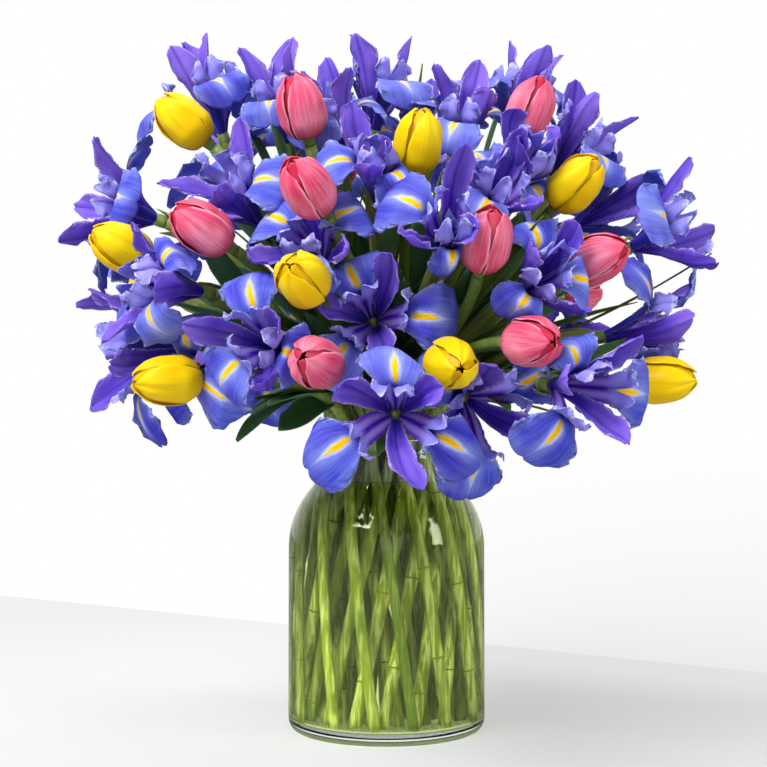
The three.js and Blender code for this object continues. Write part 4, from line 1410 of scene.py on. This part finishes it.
class Tree:
    """Short calls for adding and joining nodes in a material's or a group's tree."""

    def __init__(self, tree: bpy.types.NodeTree) -> None:
        """Works on a tree."""
        self.tree = tree

    def node(self, kind: str, inputs: dict | None = None, **settings: object) -> bpy.types.Node:
        """Adds a node.

        Args:
            kind: the node's type.
            inputs: for input names or numbers, values to give or sockets to join.
            settings: the node's own properties, which are set first.

        Returns:
            The node.
        """
        node = self.tree.nodes.new(kind)
        for key, value in settings.items():
            setattr(node, key, value)
        for key, value in (inputs or {}).items():
            self.give(node.inputs[key], value)
        return node

    def give(self, socket: bpy.types.NodeSocket, value: object) -> None:
        """Gives a socket a value, or joins it to another socket.

        Args:
            socket: the socket.
            value: a number, a colour, or the socket that it is joined to.
        """
        if isinstance(value, bpy.types.NodeSocket):
            self.tree.links.new(value, socket)
        elif isinstance(value, Colour):
            socket.default_value = value.linear()
        else:
            socket.default_value = value

    def maths(self, operation: str, a: object, b: object = 0.0) -> bpy.types.NodeSocket:
        """One sum of two numbers."""
        return self.node("ShaderNodeMath", {0: a, 1: b}, operation=operation).outputs[0]

    def times(self, a: object, b: object) -> bpy.types.NodeSocket:
        """One number times another."""
        return self.maths("MULTIPLY", a, b)

    def plus(self, a: object, b: object) -> bpy.types.NodeSocket:
        """One number and another."""
        return self.maths("ADD", a, b)

    def band(self, value: object, low: float, high: float) -> bpy.types.NodeSocket:
        """A soft step from 0 at low to 1 at high; it falls where low is the greater."""
        inputs = {"Value": value, "From Min": low, "From Max": high}
        return self.node("ShaderNodeMapRange", inputs, interpolation_type="SMOOTHSTEP").outputs[0]

    def mix(self, share: object, a: object, b: object) -> bpy.types.NodeSocket:
        """A mix of two colours."""
        return self.node("ShaderNodeMix", {0: share, 6: a, 7: b}, data_type="RGBA").outputs[2]

    def over(self, below: object, above: object, mask: object, strength: object) -> bpy.types.NodeSocket:
        """One colour laid over another where a mask is, with a strength from 0 to 1."""
        return self.mix(self.times(mask, strength), below, above)

    def place(self) -> list[bpy.types.NodeSocket]:
        """Where a point lies on its petal, leaf or stem: along, across and half width."""
        attribute = self.node("ShaderNodeAttribute", attribute_name="place", attribute_type="GEOMETRY")
        return list(self.node("ShaderNodeSeparateXYZ", {0: attribute.outputs["Vector"]}).outputs)

    def tone(self) -> bpy.types.NodeSocket:
        """The petal's own tone; on a tulip's inner petals it also calls for painted shade."""
        attribute = self.node("ShaderNodeAttribute", attribute_name="tone", attribute_type="GEOMETRY")
        return attribute.outputs["Fac"]

    def height(self, low: float, high: float) -> bpy.types.NodeSocket:
        """A soft step from 0 to 1 between two heights in metres."""
        point = self.node("ShaderNodeTexCoord").outputs["Object"]
        return self.band(self.node("ShaderNodeSeparateXYZ", {0: point}).outputs[2], low, high)

    def clouds(self, scale: object, detail: object) -> bpy.types.NodeSocket:
        """Cloudy noise over the object.

        Args:
            scale: how fine it is.
            detail: how many finer layers it has.

        Returns:
            The noise, from 0 to 1.
        """
        point = self.node("ShaderNodeTexCoord").outputs["Object"]
        inputs = {"Vector": point, "Scale": scale, "Detail": detail}
        return self.node("ShaderNodeTexNoise", inputs).outputs["Fac"]


def start_group(name: str, inputs: dict[str, float], outputs: Sequence[str]) -> Tree:
    """Starts a shader node group whose inputs and outputs are plain numbers.

    Args:
        name: the group's name.
        inputs: the name and default of each input.
        outputs: the name of each output.

    Returns:
        The group's tree.
    """
    group = bpy.data.node_groups.new(name, "ShaderNodeTree")
    for label, value in inputs.items():
        socket = group.interface.new_socket(label, in_out="INPUT", socket_type="NodeSocketFloat")
        socket.default_value = value
    for label in outputs:
        group.interface.new_socket(label, in_out="OUTPUT", socket_type="NodeSocketFloat")
    return Tree(group)


def make_patches() -> bpy.types.NodeTree:
    """Soft cloudy patches, as a mask that steps from 0 where the noise is Low to 1 where it is High.

    Returns:
        The group.
    """
    tree = start_group("Patches", {"Scale": 30, "Detail": 3, "Low": 0.4, "High": 0.6}, ("Mask",))
    given = tree.node("NodeGroupInput").outputs
    noise = tree.clouds(given["Scale"], given["Detail"])
    tree.node("NodeGroupOutput", {"Mask": tree.band(noise, given["Low"], given["High"])})
    return tree.tree


def make_teeth() -> bpy.types.NodeTree:
    """A rim that starts at Inner of the way to the edge and is broken into fine teeth.

    Returns:
        The group.
    """
    tree = start_group("Toothed rim", {"Edge": 0, "Inner": 0.9, "Strength": 0.5}, ("Mask",))
    given = tree.node("NodeGroupInput").outputs
    teeth = tree.band(tree.clouds(420.0, 1.0), 0.38, 0.58)
    rim = tree.times(tree.band(given["Edge"], given["Inner"], 1.0), teeth)
    tree.node("NodeGroupOutput", {"Mask": tree.times(rim, given["Strength"])})
    return tree.tree


def make_veins() -> bpy.types.NodeTree:
    """Fine lines that run the length of a petal or leaf and fan out with its width, wavering a little.

    Returns:
        The group. It puts out the dark lines, pale streaks between them, and a height for the bump.
    """
    inputs = {"Along": 0, "Across": 0, "Count": 12, "Waver": 0.3, "Width": 0.35}
    tree = start_group("Veins", inputs, ("Line", "Streak", "Height"))
    given = tree.node("NodeGroupInput").outputs
    noise = tree.clouds(55.0, 3.0)
    waver = tree.times(tree.maths("SUBTRACT", noise, 0.5), given["Waver"])
    aside = tree.plus(given["Across"], tree.times(waver, 0.35))
    lines = tree.times(aside, given["Count"])
    swing = tree.maths("ABSOLUTE", tree.maths("SINE", tree.times(lines, math.pi)))
    fall = {"Value": swing, "From Max": given["Width"], "To Min": 1.0, "To Max": 0.0}
    thin = tree.node("ShaderNodeMapRange", fall)
    line = tree.times(thin.outputs[0], tree.band(noise, 0.25, 0.6))
    long_way = tree.times(given["Along"], 2.5)
    wide_way = tree.times(given["Across"], given["Count"])
    cell = tree.node("ShaderNodeCombineXYZ", {0: long_way, 1: wide_way, 2: tree.tone()}).outputs[0]
    grain = {"Vector": cell, "Scale": 0.9, "Detail": 4.0, "Roughness": 0.6}
    streak = tree.node("ShaderNodeTexNoise", grain).outputs["Fac"]
    height = tree.plus(tree.times(swing, 0.22), streak)
    pale = tree.band(streak, 0.3, 0.72)
    tree.node("NodeGroupOutput", {"Line": line, "Streak": pale, "Height": height})
    return tree.tree


@dataclass(frozen=True)
class PetalFinish:
    """How one kind of petal looks."""

    name: str
    body: Colour
    light: Colour
    deep: Colour
    veins: float
    vein_strength: float
    roughness: float
    translucent: float
    sheen: float = 0.03
    bump: float = 0.3
    streaks: float = 0.5
    # How strongly painted shade deepens a tulip's inner petals, inside its cup.
    inner: float = 0.0


FALL_FINISH = PetalFinish(
    name="Iris fall",
    body=Colour.FALL,
    light=Colour.FALL_LIGHT,
    deep=Colour.FALL_DEEP,
    veins=14,
    vein_strength=0.45,
    roughness=0.55,
    translucent=0.32,
    bump=0.45,
)
STANDARD_FINISH = PetalFinish(
    name="Iris standard",
    body=Colour.STANDARD,
    light=Colour.STANDARD_LIGHT,
    deep=Colour.STANDARD_DEEP,
    veins=9,
    vein_strength=0.5,
    roughness=0.5,
    translucent=0.32,
    bump=0.5,
)
ARM_FINISH = PetalFinish(
    name="Iris style arm",
    body=Colour.ARM,
    light=Colour.ARM_PALE,
    deep=Colour.ARM_DEEP,
    veins=7,
    vein_strength=0.6,
    roughness=0.45,
    translucent=0.3,
    bump=0.7,
)
YELLOW_FINISH = PetalFinish(
    name="Yellow tulip",
    body=Colour.YELLOW,
    light=Colour.YELLOW_LIGHT,
    deep=Colour.YELLOW_DEEP,
    veins=12,
    vein_strength=0.12,
    roughness=0.38,
    translucent=0.25,
    sheen=0.02,
    bump=0.2,
    inner=0.55,
)
PINK_FINISH = PetalFinish(
    name="Pink tulip",
    body=Colour.PINK,
    light=Colour.PINK_LIGHT,
    deep=Colour.PINK_DEEP,
    veins=12,
    vein_strength=0.16,
    roughness=0.38,
    translucent=0.25,
    bump=0.2,
    streaks=0.34,
    inner=0.8,
)


class Finishes:
    """All the materials, made once."""

    GLASS_INDEX, WATER_INDEX = 1.5, 1.33
    # The heights in metres between which painted light makes the blooms paler, towards the top of the
    # bunch.
    PAINTED_LIGHT_ABOVE = (0.34, 0.5)

    def __init__(self) -> None:
        """Makes the shared groups and every material."""
        self.veins = make_veins()
        self.patches = make_patches()
        self.teeth = make_teeth()
        self.petals: dict[Surface, bpy.types.Material] = {
            Surface.FALL: self.fall(FALL_FINISH),
            Surface.STANDARD: self.standard(STANDARD_FINISH),
            Surface.ARM: self.arm(ARM_FINISH),
            Surface.YELLOW: self.tulip(YELLOW_FINISH),
            Surface.PINK: self.tulip(PINK_FINISH),
            Surface.OVARY: self.stem("Iris ovary", Colour.STEM),
            Surface.IRIS_STEM: self.stem("Iris stem", Colour.STEM),
            Surface.TULIP_STEM: self.stem("Tulip stem", Colour.STEM_TULIP),
            Surface.SHEATH: self.leaf("Iris sheath", Colour.STEM, Colour.STEM_PALE, Colour.LEAF),
            Surface.IRIS_LEAF: self.leaf("Iris leaf", Colour.LEAF, Colour.STEM, Colour.LEAF_DARK),
            Surface.TULIP_LEAF: self.leaf("Tulip leaf", Colour.LEAF_BLUE, Colour.LEAF_PALE, Colour.LEAF),
        }
        self.glass = self.clear("Clear glass", Colour.GLASS, self.GLASS_INDEX)
        self.water = self.clear("Water", Colour.WATER, self.WATER_INDEX)

    @staticmethod
    def start(name: str) -> tuple[bpy.types.Material, Tree, bpy.types.Node, bpy.types.Node]:
        """Starts a material.

        Args:
            name: its name.

        Returns:
            The material, its tree, its shader and its output.
        """
        material = bpy.data.materials.new(name)
        material.use_nodes = True
        nodes = material.node_tree.nodes
        return material, Tree(material.node_tree), nodes["Principled BSDF"], nodes["Material Output"]

    def line_work(
        self, tree: Tree, along: object, across: object, finish: PetalFinish, waver: float
    ) -> bpy.types.NodeOutputs:
        """The veins, placed in one material."""
        inputs = {"Along": along, "Across": across, "Count": finish.veins, "Waver": waver}
        return tree.node("ShaderNodeGroup", inputs, node_tree=self.veins).outputs

    def patch(self, tree: Tree, scale: float, low: float, high: float, detail: float = 3.0) -> object:
        """The mask of the patches, placed in one material."""
        inputs = {"Scale": scale, "Detail": detail, "Low": low, "High": high}
        return tree.node("ShaderNodeGroup", inputs, node_tree=self.patches).outputs["Mask"]

    def toothed(self, tree: Tree, edge: object, inner: float, strength: float) -> object:
        """The mask of the toothed rim, placed in one material."""
        inputs = {"Edge": edge, "Inner": inner, "Strength": strength}
        return tree.node("ShaderNodeGroup", inputs, node_tree=self.teeth).outputs["Mask"]

    @staticmethod
    def close(
        tree: Tree,
        shader: bpy.types.Node,
        output: bpy.types.Node,
        colour: object,
        height: object,
        finish: PetalFinish,
    ) -> None:
        """Sets the petal's colour, sheen, bump and the light that comes through it.

        Args:
            tree: the material's tree.
            shader: its main shader.
            output: its output.
            colour: the petal's colour.
            height: what its bump follows.
            finish: the petal's finish.
        """
        tree.give(shader.inputs["Base Color"], colour)
        shader.inputs["Roughness"].default_value = finish.roughness
        shader.inputs["Sheen Weight"].default_value = finish.sheen
        shader.inputs["Sheen Roughness"].default_value = 0.4
        shader.inputs["Specular IOR Level"].default_value = 0.14
        bump = tree.node("ShaderNodeBump", {"Strength": finish.bump, "Distance": 0.0006, "Height": height})
        tree.give(shader.inputs["Normal"], bump.outputs[0])
        through = tree.node("ShaderNodeBsdfTranslucent", {"Color": colour, "Normal": bump.outputs[0]})
        shaders = {0: finish.translucent, 1: shader.outputs[0], 2: through.outputs[0]}
        mixed = tree.node("ShaderNodeMixShader", shaders)
        tree.give(output.inputs["Surface"], mixed.outputs[0])

    def fall(self, finish: PetalFinish) -> bpy.types.Material:
        """Blue with a yellow signal in a pale halo, finely veined outward, with a pale frilled edge.

        Args:
            finish: its colours and strengths.

        Returns:
            The material.
        """
        material, tree, shader, output = self.start(finish.name)
        along, across, half = tree.place()
        edge = tree.maths("ABSOLUTE", across)
        lines = self.line_work(tree, along, across, finish, 0.35)
        cloud = self.patch(tree, 26.0, 0.4, 0.66, detail=2.0)
        pale = tree.plus(tree.times(lines["Streak"], 0.34), tree.times(cloud, 0.42))
        colour = tree.mix(pale, finish.body, finish.light)
        # Painted light: paler towards the top of the bunch.
        colour = tree.over(colour, finish.light, tree.height(*self.PAINTED_LIGHT_ABOVE), 0.35)
        colour = tree.over(colour, Colour.STANDARD, self.patch(tree, 38.0, 0.62, 0.38), 0.35)
        colour = tree.over(colour, finish.deep, tree.band(tree.tone(), 0.3, 1.0), 0.5)
        colour = tree.over(colour, finish.light, tree.band(edge, 0.6, 1.0), 0.4)
        # Painted shade: deep violet towards the claw, in the middle of the bloom.
        colour = tree.over(colour, Colour.STANDARD_DEEP, tree.band(along, 0.5, 0.2), 0.75)
        # Millimetres from the midline, made uneven, steer the glow, the halo and the stripe.
        width = tree.times(tree.times(edge, half), HALF_UNIT)
        ray = tree.plus(width, tree.times(tree.clouds(240.0, 3.0), 2.0))
        bulge = tree.times(tree.band(along, 0.42, 0.56), tree.band(along, 0.84, 0.62))
        reach = tree.plus(ray, tree.times(tree.maths("SUBTRACT", 1.0, bulge), 3.2))
        outer = tree.times(tree.band(along, 0.44, 0.58), tree.band(along, 0.96, 0.74))
        glow = tree.times(tree.band(ray, 9.0, 3.0), outer)
        colour = tree.over(colour, finish.light, glow, 0.6)
        halo = tree.times(tree.band(reach, 5.6, 3.2), outer)
        colour = tree.over(colour, Colour.HALO, halo, 0.85)
        colour = tree.over(colour, finish.deep, lines["Line"], finish.vein_strength)
        stripe = tree.band(reach, 3.1, 2.6)
        warm = tree.mix(tree.times(tree.band(reach, 1.8, 0.9), 0.6), Colour.SIGNAL, Colour.SIGNAL_WARM)
        colour = tree.mix(stripe, colour, warm)
        colour = tree.mix(self.toothed(tree, edge, 0.9, 0.5), colour, Colour.HALO)
        height = tree.plus(lines["Height"], tree.times(stripe, 1.6))
        self.close(tree, shader, output, colour, height, finish)
        return material

    def standard(self, finish: PetalFinish) -> bpy.types.Material:
        """Violet, lilac towards the tip, with a pale crinkled rim, painted shade deep at the claw and
        painted light near the top of the bunch.

        Args:
            finish: its colours and strengths.

        Returns:
            The material.
        """
        material, tree, shader, output = self.start(finish.name)
        along, across, _ = tree.place()
        edge = tree.maths("ABSOLUTE", across)
        lines = self.line_work(tree, along, across, finish, 0.5)
        cloud = self.patch(tree, 30.0, 0.4, 0.66, detail=2.0)
        pale = tree.plus(tree.times(lines["Streak"], 0.28), tree.times(cloud, 0.42))
        colour = tree.mix(pale, finish.body, finish.light)
        # Painted light: paler towards the top of the bunch.
        colour = tree.over(colour, finish.light, tree.height(*self.PAINTED_LIGHT_ABOVE), 0.3)
        colour = tree.over(colour, finish.light, tree.band(along, 0.55, 1.0), 0.45)
        colour = tree.over(colour, finish.deep, tree.band(tree.tone(), 0.2, 1.0), 0.45)
        colour = tree.over(colour, finish.deep, tree.band(edge, 0.22, 0.0), 0.5)
        # Painted shade: deep towards the claw, in the middle of the bloom.
        colour = tree.over(colour, finish.deep, tree.band(along, 0.55, 0.1), 0.7)
        colour = tree.over(colour, finish.light, tree.band(edge, 0.6, 1.0), 0.45)
        colour = tree.over(colour, finish.deep, lines["Line"], finish.vein_strength)
        colour = tree.mix(self.toothed(tree, edge, 0.86, 0.6), colour, Colour.LILAC_RIM)
        self.close(tree, shader, output, colour, lines["Height"], finish)
        return material

    def arm(self, finish: PetalFinish) -> bpy.types.Material:
        """Violet with a broad pale streak on either side of a dark midline, and a lighter blue crest.

        Args:
            finish: its colours and strengths.

        Returns:
            The material.
        """
        material, tree, shader, output = self.start(finish.name)
        along, across, _ = tree.place()
        edge = tree.maths("ABSOLUTE", across)
        lines = self.line_work(tree, along, across, finish, 0.25)
        streak = tree.times(tree.band(edge, 0.1, 0.35), tree.band(edge, 0.85, 0.5))
        streak = tree.times(streak, tree.band(along, 0.02, 0.2))
        colour = tree.mix(tree.times(streak, 0.85), finish.body, finish.light)
        colour = tree.mix(tree.band(edge, 0.12, 0.02), colour, finish.deep)
        colour = tree.over(colour, finish.deep, lines["Line"], finish.vein_strength)
        colour = tree.over(colour, finish.deep, tree.tone(), 0.3)
        colour = tree.over(colour, Colour.CREST, tree.band(along, 0.66, 0.86), 0.8)
        colour = tree.over(colour, Colour.THROAT, tree.band(along, 0.12, 0.02), 0.7)
        rim = tree.maths("MAXIMUM", tree.band(along, 1.0, 1.15), tree.band(edge, 0.8, 1.0))
        rim = tree.times(self.toothed(tree, rim, 0.0, 0.75), tree.band(along, 0.55, 0.8))
        colour = tree.mix(rim, colour, Colour.HALO)
        self.close(tree, shader, output, colour, lines["Height"], finish)
        return material

    def tulip(self, finish: PetalFinish) -> bpy.types.Material:
        """Satin petals with faint lines and a light rim, with painted shade deeper at the base and on the
        inner petals in the cup.

        Args:
            finish: its colours and strengths.

        Returns:
            The material.
        """
        material, tree, shader, output = self.start(finish.name)
        along, across, _ = tree.place()
        edge = tree.maths("ABSOLUTE", across)
        lines = self.line_work(tree, along, across, finish, 0.5)
        cloud = self.patch(tree, 34.0, 0.35, 0.7, detail=2.0)
        streak = tree.times(tree.plus(lines["Streak"], cloud), finish.streaks)
        colour = tree.mix(streak, finish.body, finish.light)
        colour = tree.over(colour, finish.body, tree.band(edge, 0.35, 0.8), 0.4)
        # Painted shade: deeper towards the base of the cup.
        colour = tree.over(colour, finish.deep, tree.band(along, 0.4, 0.0), 0.6)
        colour = tree.over(colour, finish.deep, lines["Line"], finish.vein_strength)
        # Painted shade: the inner petals, inside the cup, are made deeper.
        colour = tree.over(colour, finish.deep, tree.band(tree.tone(), 0.4, 0.7), finish.inner)
        colour = tree.over(colour, finish.light, tree.band(edge, 0.86, 0.99), 0.7)
        self.close(tree, shader, output, colour, lines["Height"], finish)
        return material

    def stem(self, name: str, body: Colour) -> bpy.types.Material:
        """Green with pale streaks and darker patches, brown scars, and a fresher part above the water.

        Args:
            name: the material's name.
            body: its main green.

        Returns:
            The material.
        """
        material, tree, shader, _ = self.start(name)
        mark = tree.place()[2]
        point = tree.node("ShaderNodeTexCoord").outputs["Object"]
        stretched = tree.node("ShaderNodeMapping", {"Vector": point, "Scale": (1.0, 1.0, 0.06)}).outputs[0]
        grain = {"Vector": stretched, "Scale": 420.0, "Detail": 2.0}
        streaks = tree.node("ShaderNodeTexNoise", grain).outputs["Fac"]
        colour = tree.mix(tree.band(streaks, 0.4, 0.66), body, Colour.STEM_PALE)
        colour = tree.over(colour, Colour.STEM_DRY, tree.height(0.185, 0.26), 0.75)
        colour = tree.over(colour, Colour.STEM_DARK, self.patch(tree, 24.0, 0.4, 0.75), 0.55)
        colour = tree.over(colour, Colour.STEM_DARK, tree.band(tree.tone(), 0.3, 1.0), 0.7)
        colour = tree.mix(tree.band(mark, 0.25, 0.8), colour, Colour.SCAR)
        tree.give(shader.inputs["Base Color"], colour)
        shader.inputs["Roughness"].default_value = 0.34
        shader.inputs["Specular IOR Level"].default_value = 0.4
        bump = tree.node("ShaderNodeBump", {"Strength": 0.3, "Distance": 0.0005, "Height": streaks})
        tree.give(shader.inputs["Normal"], bump.outputs[0])
        return material

    def leaf(self, name: str, body: Colour, light: Colour, deep: Colour) -> bpy.types.Material:
        """Green with fine lines along the blade and a paler edge.

        Args:
            name: the material's name.
            body: its main green.
            light: the green of its streaks and edge.
            deep: the green of its shades and lines.

        Returns:
            The material.
        """
        material, tree, shader, output = self.start(name)
        along, across, _ = tree.place()
        edge = tree.maths("ABSOLUTE", across)
        finish = PetalFinish(
            name, body, light, deep, veins=14, vein_strength=0.45, roughness=0.5, translucent=0.25,
            sheen=0.05, bump=0.35,
        )
        lines = self.line_work(tree, along, across, finish, 0.2)
        colour = tree.mix(tree.times(lines["Streak"], 0.45), body, light)
        colour = tree.over(colour, deep, self.patch(tree, 26.0, 0.3, 0.8), 0.6)
        colour = tree.over(colour, deep, tree.tone(), 0.4)
        colour = tree.over(colour, deep, lines["Line"], finish.vein_strength)
        colour = tree.over(colour, light, tree.band(edge, 0.85, 1.0), 0.5)
        self.close(tree, shader, output, colour, lines["Height"], finish)
        return material

    def clear(self, name: str, colour: Colour, index: float) -> bpy.types.Material:
        """Clear glass or water, with a quieter mirror outside and a whole one inside.

        Args:
            name: the material's name.
            colour: its tint.
            index: how strongly it bends light.

        Returns:
            The material.
        """
        material, tree, shader, output = self.start(name)
        shader.inputs["Base Color"].default_value = colour.linear()
        shader.inputs["Roughness"].default_value = 0.0
        shader.inputs["IOR"].default_value = index
        shader.inputs["Transmission Weight"].default_value = 1.0
        shader.inputs["Specular Tint"].default_value = grey(0.35)
        inside = tree.node("ShaderNodeNewGeometry").outputs["Backfacing"]
        whole = tree.node("ShaderNodeBsdfGlass", {"Color": colour, "Roughness": 0.0, "IOR": index})
        body = tree.node("ShaderNodeMixShader", {0: inside, 1: shader.outputs[0], 2: whole.outputs[0]})
        shadow = tree.node("ShaderNodeLightPath").outputs["Is Shadow Ray"]
        through = tree.node("ShaderNodeBsdfTransparent", {"Color": colour})
        mixed = tree.node("ShaderNodeMixShader", {0: shadow, 1: body.outputs[0], 2: through.outputs[0]})
        tree.give(output.inputs["Surface"], mixed.outputs[0])
        return material


# The room.


class Studio:
    """The camera, the lights, and the pale floor with the white beyond its far edge."""

    EYE = (-0.0022, -1.118, 0.224)
    PITCH = 1.62
    SENSOR, FOCAL_PIXELS, PICTURE_PIXELS = 36, 1500, 767
    AIM = Vector((0, 0, 0.27))
    SIDES = 0.16
    CEILING = 0.5
    THROUGH = 0.7
    # The floor's far edge runs square to this direction, at this distance from the jar, and the whole
    # floor fades to white between these two distances.
    ACROSS_X, ACROSS_Y = 0.588, 0.809
    EDGE = 0.405
    FADE = (0.7, 1.5)
    LIGHTS = (
        ("key", (-0.9, -1.2, 1.5), (1.0, 1.0), 53),
        ("strip", (1.6, -0.85, 0.8), (0.4, 1.0), 14),
        ("low", (0.2, -1.7, 0.6), (0.9, 0.9), 2.5),
        ("top", (0.2, 0.3, 1.8), (0.8, 0.8), 14),
    )

    def build(self) -> None:
        """Makes all of it."""
        camera = bpy.data.objects.new("camera", bpy.data.cameras.new("camera"))
        camera.data.lens = self.SENSOR * self.FOCAL_PIXELS / self.PICTURE_PIXELS
        camera.location = self.EYE
        camera.rotation_euler = (math.radians(90 + self.PITCH), 0, 0)
        bpy.context.collection.objects.link(camera)
        bpy.context.scene.camera = camera
        for name, place, size, power in self.LIGHTS:
            self.light(name, place, size, power)
        bpy.context.scene.world = self.room()
        bpy.context.scene.view_settings.view_transform = "Standard"
        self.floor()

    def room(self) -> bpy.types.World:
        """A white room that is dimmer at the sides and in front, so that clear glass shows its edges.

        Returns:
            The world.
        """
        world = bpy.data.worlds.new("room")
        world.use_nodes = True
        tree = Tree(world.node_tree)
        way = tree.node("ShaderNodeTexCoord").outputs["Generated"]
        _, y, z = tree.node("ShaderNodeSeparateXYZ", {0: way}).outputs
        behind = tree.band(y, 0.2, 0.75)
        above = tree.band(z, 0.3, 1.0)
        glow = tree.maths("MAXIMUM", behind, tree.times(above, self.CEILING))
        strength = tree.maths("MAXIMUM", glow, self.SIDES)
        path = tree.node("ShaderNodeLightPath").outputs
        through = tree.times(path["Is Transmission Ray"], path["Is Glossy Ray"])
        through = tree.times(through, self.THROUGH)
        seen = tree.maths("MAXIMUM", path["Is Camera Ray"], through)
        background = world.node_tree.nodes["Background"]
        background.inputs["Color"].default_value = grey(1)
        tree.give(background.inputs["Strength"], tree.maths("MAXIMUM", seen, strength))
        return world

    def light(
        self, name: str, place: tuple[float, float, float], size: tuple[float, float], power: float
    ) -> None:
        """Adds a soft light that looks at the middle of the bunch.

        Args:
            name: the light's name.
            place: where it stands, in metres.
            size: its width and height, in metres.
            power: its power in watts.
        """
        lamp = bpy.data.lights.new(name, "AREA")
        lamp.energy = power
        lamp.shape = "RECTANGLE"
        lamp.size, lamp.size_y = size
        holder = bpy.data.objects.new(name, lamp)
        holder.location = place
        holder.rotation_euler = (self.AIM - Vector(place)).to_track_quat("-Z", "Y").to_euler()
        bpy.context.collection.objects.link(holder)

    def floor(self) -> None:
        """A wide pale floor, white beyond a slanting far edge, with painted light and shade on its near
        part and on the white.
        """
        bpy.ops.object.select_all(action="DESELECT")
        bpy.ops.mesh.primitive_plane_add(size=30, location=(0, 0, 0))
        ground = bpy.context.object
        ground.name = "floor"
        material, tree, shader, _ = Finishes.start("Pale floor")
        point = tree.node("ShaderNodeTexCoord").outputs["Object"]
        x, y, _ = tree.node("ShaderNodeSeparateXYZ", {0: point}).outputs
        side = tree.plus(tree.times(x, self.ACROSS_X), tree.times(y, self.ACROSS_Y))
        beyond = tree.band(side, self.EDGE, self.EDGE + 0.004)
        # Painted shade: beyond the edge on the right, the white greys towards the floor.
        wall_foot = self.EDGE + 0.005
        nearness = tree.maths("DIVIDE", wall_foot, tree.maths("MAXIMUM", side, wall_foot))
        right = tree.band(tree.times(x, nearness), -0.1, 0.2)
        wall = tree.mix(tree.times(tree.maths("POWER", nearness, 0.75), right), grey(1), grey(0.835))
        away = tree.node("ShaderNodeVectorMath", {0: point}, operation="LENGTH").outputs["Value"]
        far = tree.maths("MAXIMUM", beyond, tree.band(away, *self.FADE))
        # Painted dark reflection: in mirror rays that do not pass through glass, the floor shows darker.
        path = tree.node("ShaderNodeLightPath").outputs
        bent = tree.maths("SUBTRACT", 1.0, path["Is Transmission Ray"])
        mirrored = tree.times(tree.times(path["Is Glossy Ray"], bent), 0.7)
        pale = tree.mix(mirrored, (0.25, 0.25, 0.253, 1), grey(0))
        tree.give(shader.inputs["Base Color"], tree.mix(far, pale, grey(0)))
        shader.inputs["Roughness"].default_value = 0.7
        shader.inputs["Specular IOR Level"].default_value = 0.0
        # The near floor glows as painted light that lifts its shadows. Painted shadow makes it dimmer to
        # the right of the jar, and painted light makes it brighter in a strip along the far edge there and
        # where it is seen through the glass.
        strip = tree.mix(tree.band(side, 0.19, 0.36), grey(0.4), grey(0.51))
        painted_floor_light_and_shade = tree.mix(tree.band(x, -0.06, 0.14), grey(0.55), strip)
        painted_floor_light_and_shade = tree.mix(path["Is Transmission Ray"], painted_floor_light_and_shade, grey(0.75))
        glow = tree.mix(far, painted_floor_light_and_shade, tree.mix(beyond, grey(1), wall))
        tree.give(shader.inputs["Emission Color"], tree.mix(mirrored, glow, grey(0)))
        shader.inputs["Emission Strength"].default_value = 1.0
        ground.data.materials.append(material)


# Putting it together.


def dress(piece: bpy.types.Object, node: str) -> None:
    """Puts a piece in the place of its solid and reports it.

    Args:
        piece: the finished piece.
        node: the solid's node.
    """
    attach(piece, BODY)
    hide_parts(node)
    log.info("%s: %d faces in place of %s", piece.name, len(piece.data.polygons), node)


def main() -> None:
    """Builds the studio, the jar, the green and the blooms in order."""
    logging.basicConfig(level=logging.INFO, format="%(message)s")
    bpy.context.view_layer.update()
    Studio().build()
    finishes = Finishes()
    plan = Plan()
    jar = Jar()
    dress(jar.build_glass(finishes.glass), "jar")
    dress(jar.build_water(finishes.water), "water")
    greenery = Greenery(plan)
    dress(greenery.build_stems(finishes.petals), "stems_and_leaves")
    dress(greenery.build_leaves(finishes.petals), "stems_and_leaves")
    for bloom in plan.irises:
        dress(Iris(bloom).build(finishes.petals), bloom.name)
    for bloom in plan.tulips:
        dress(Tulip(bloom).build(finishes.petals), bloom.name)


if __name__ == "__main__":
    main()
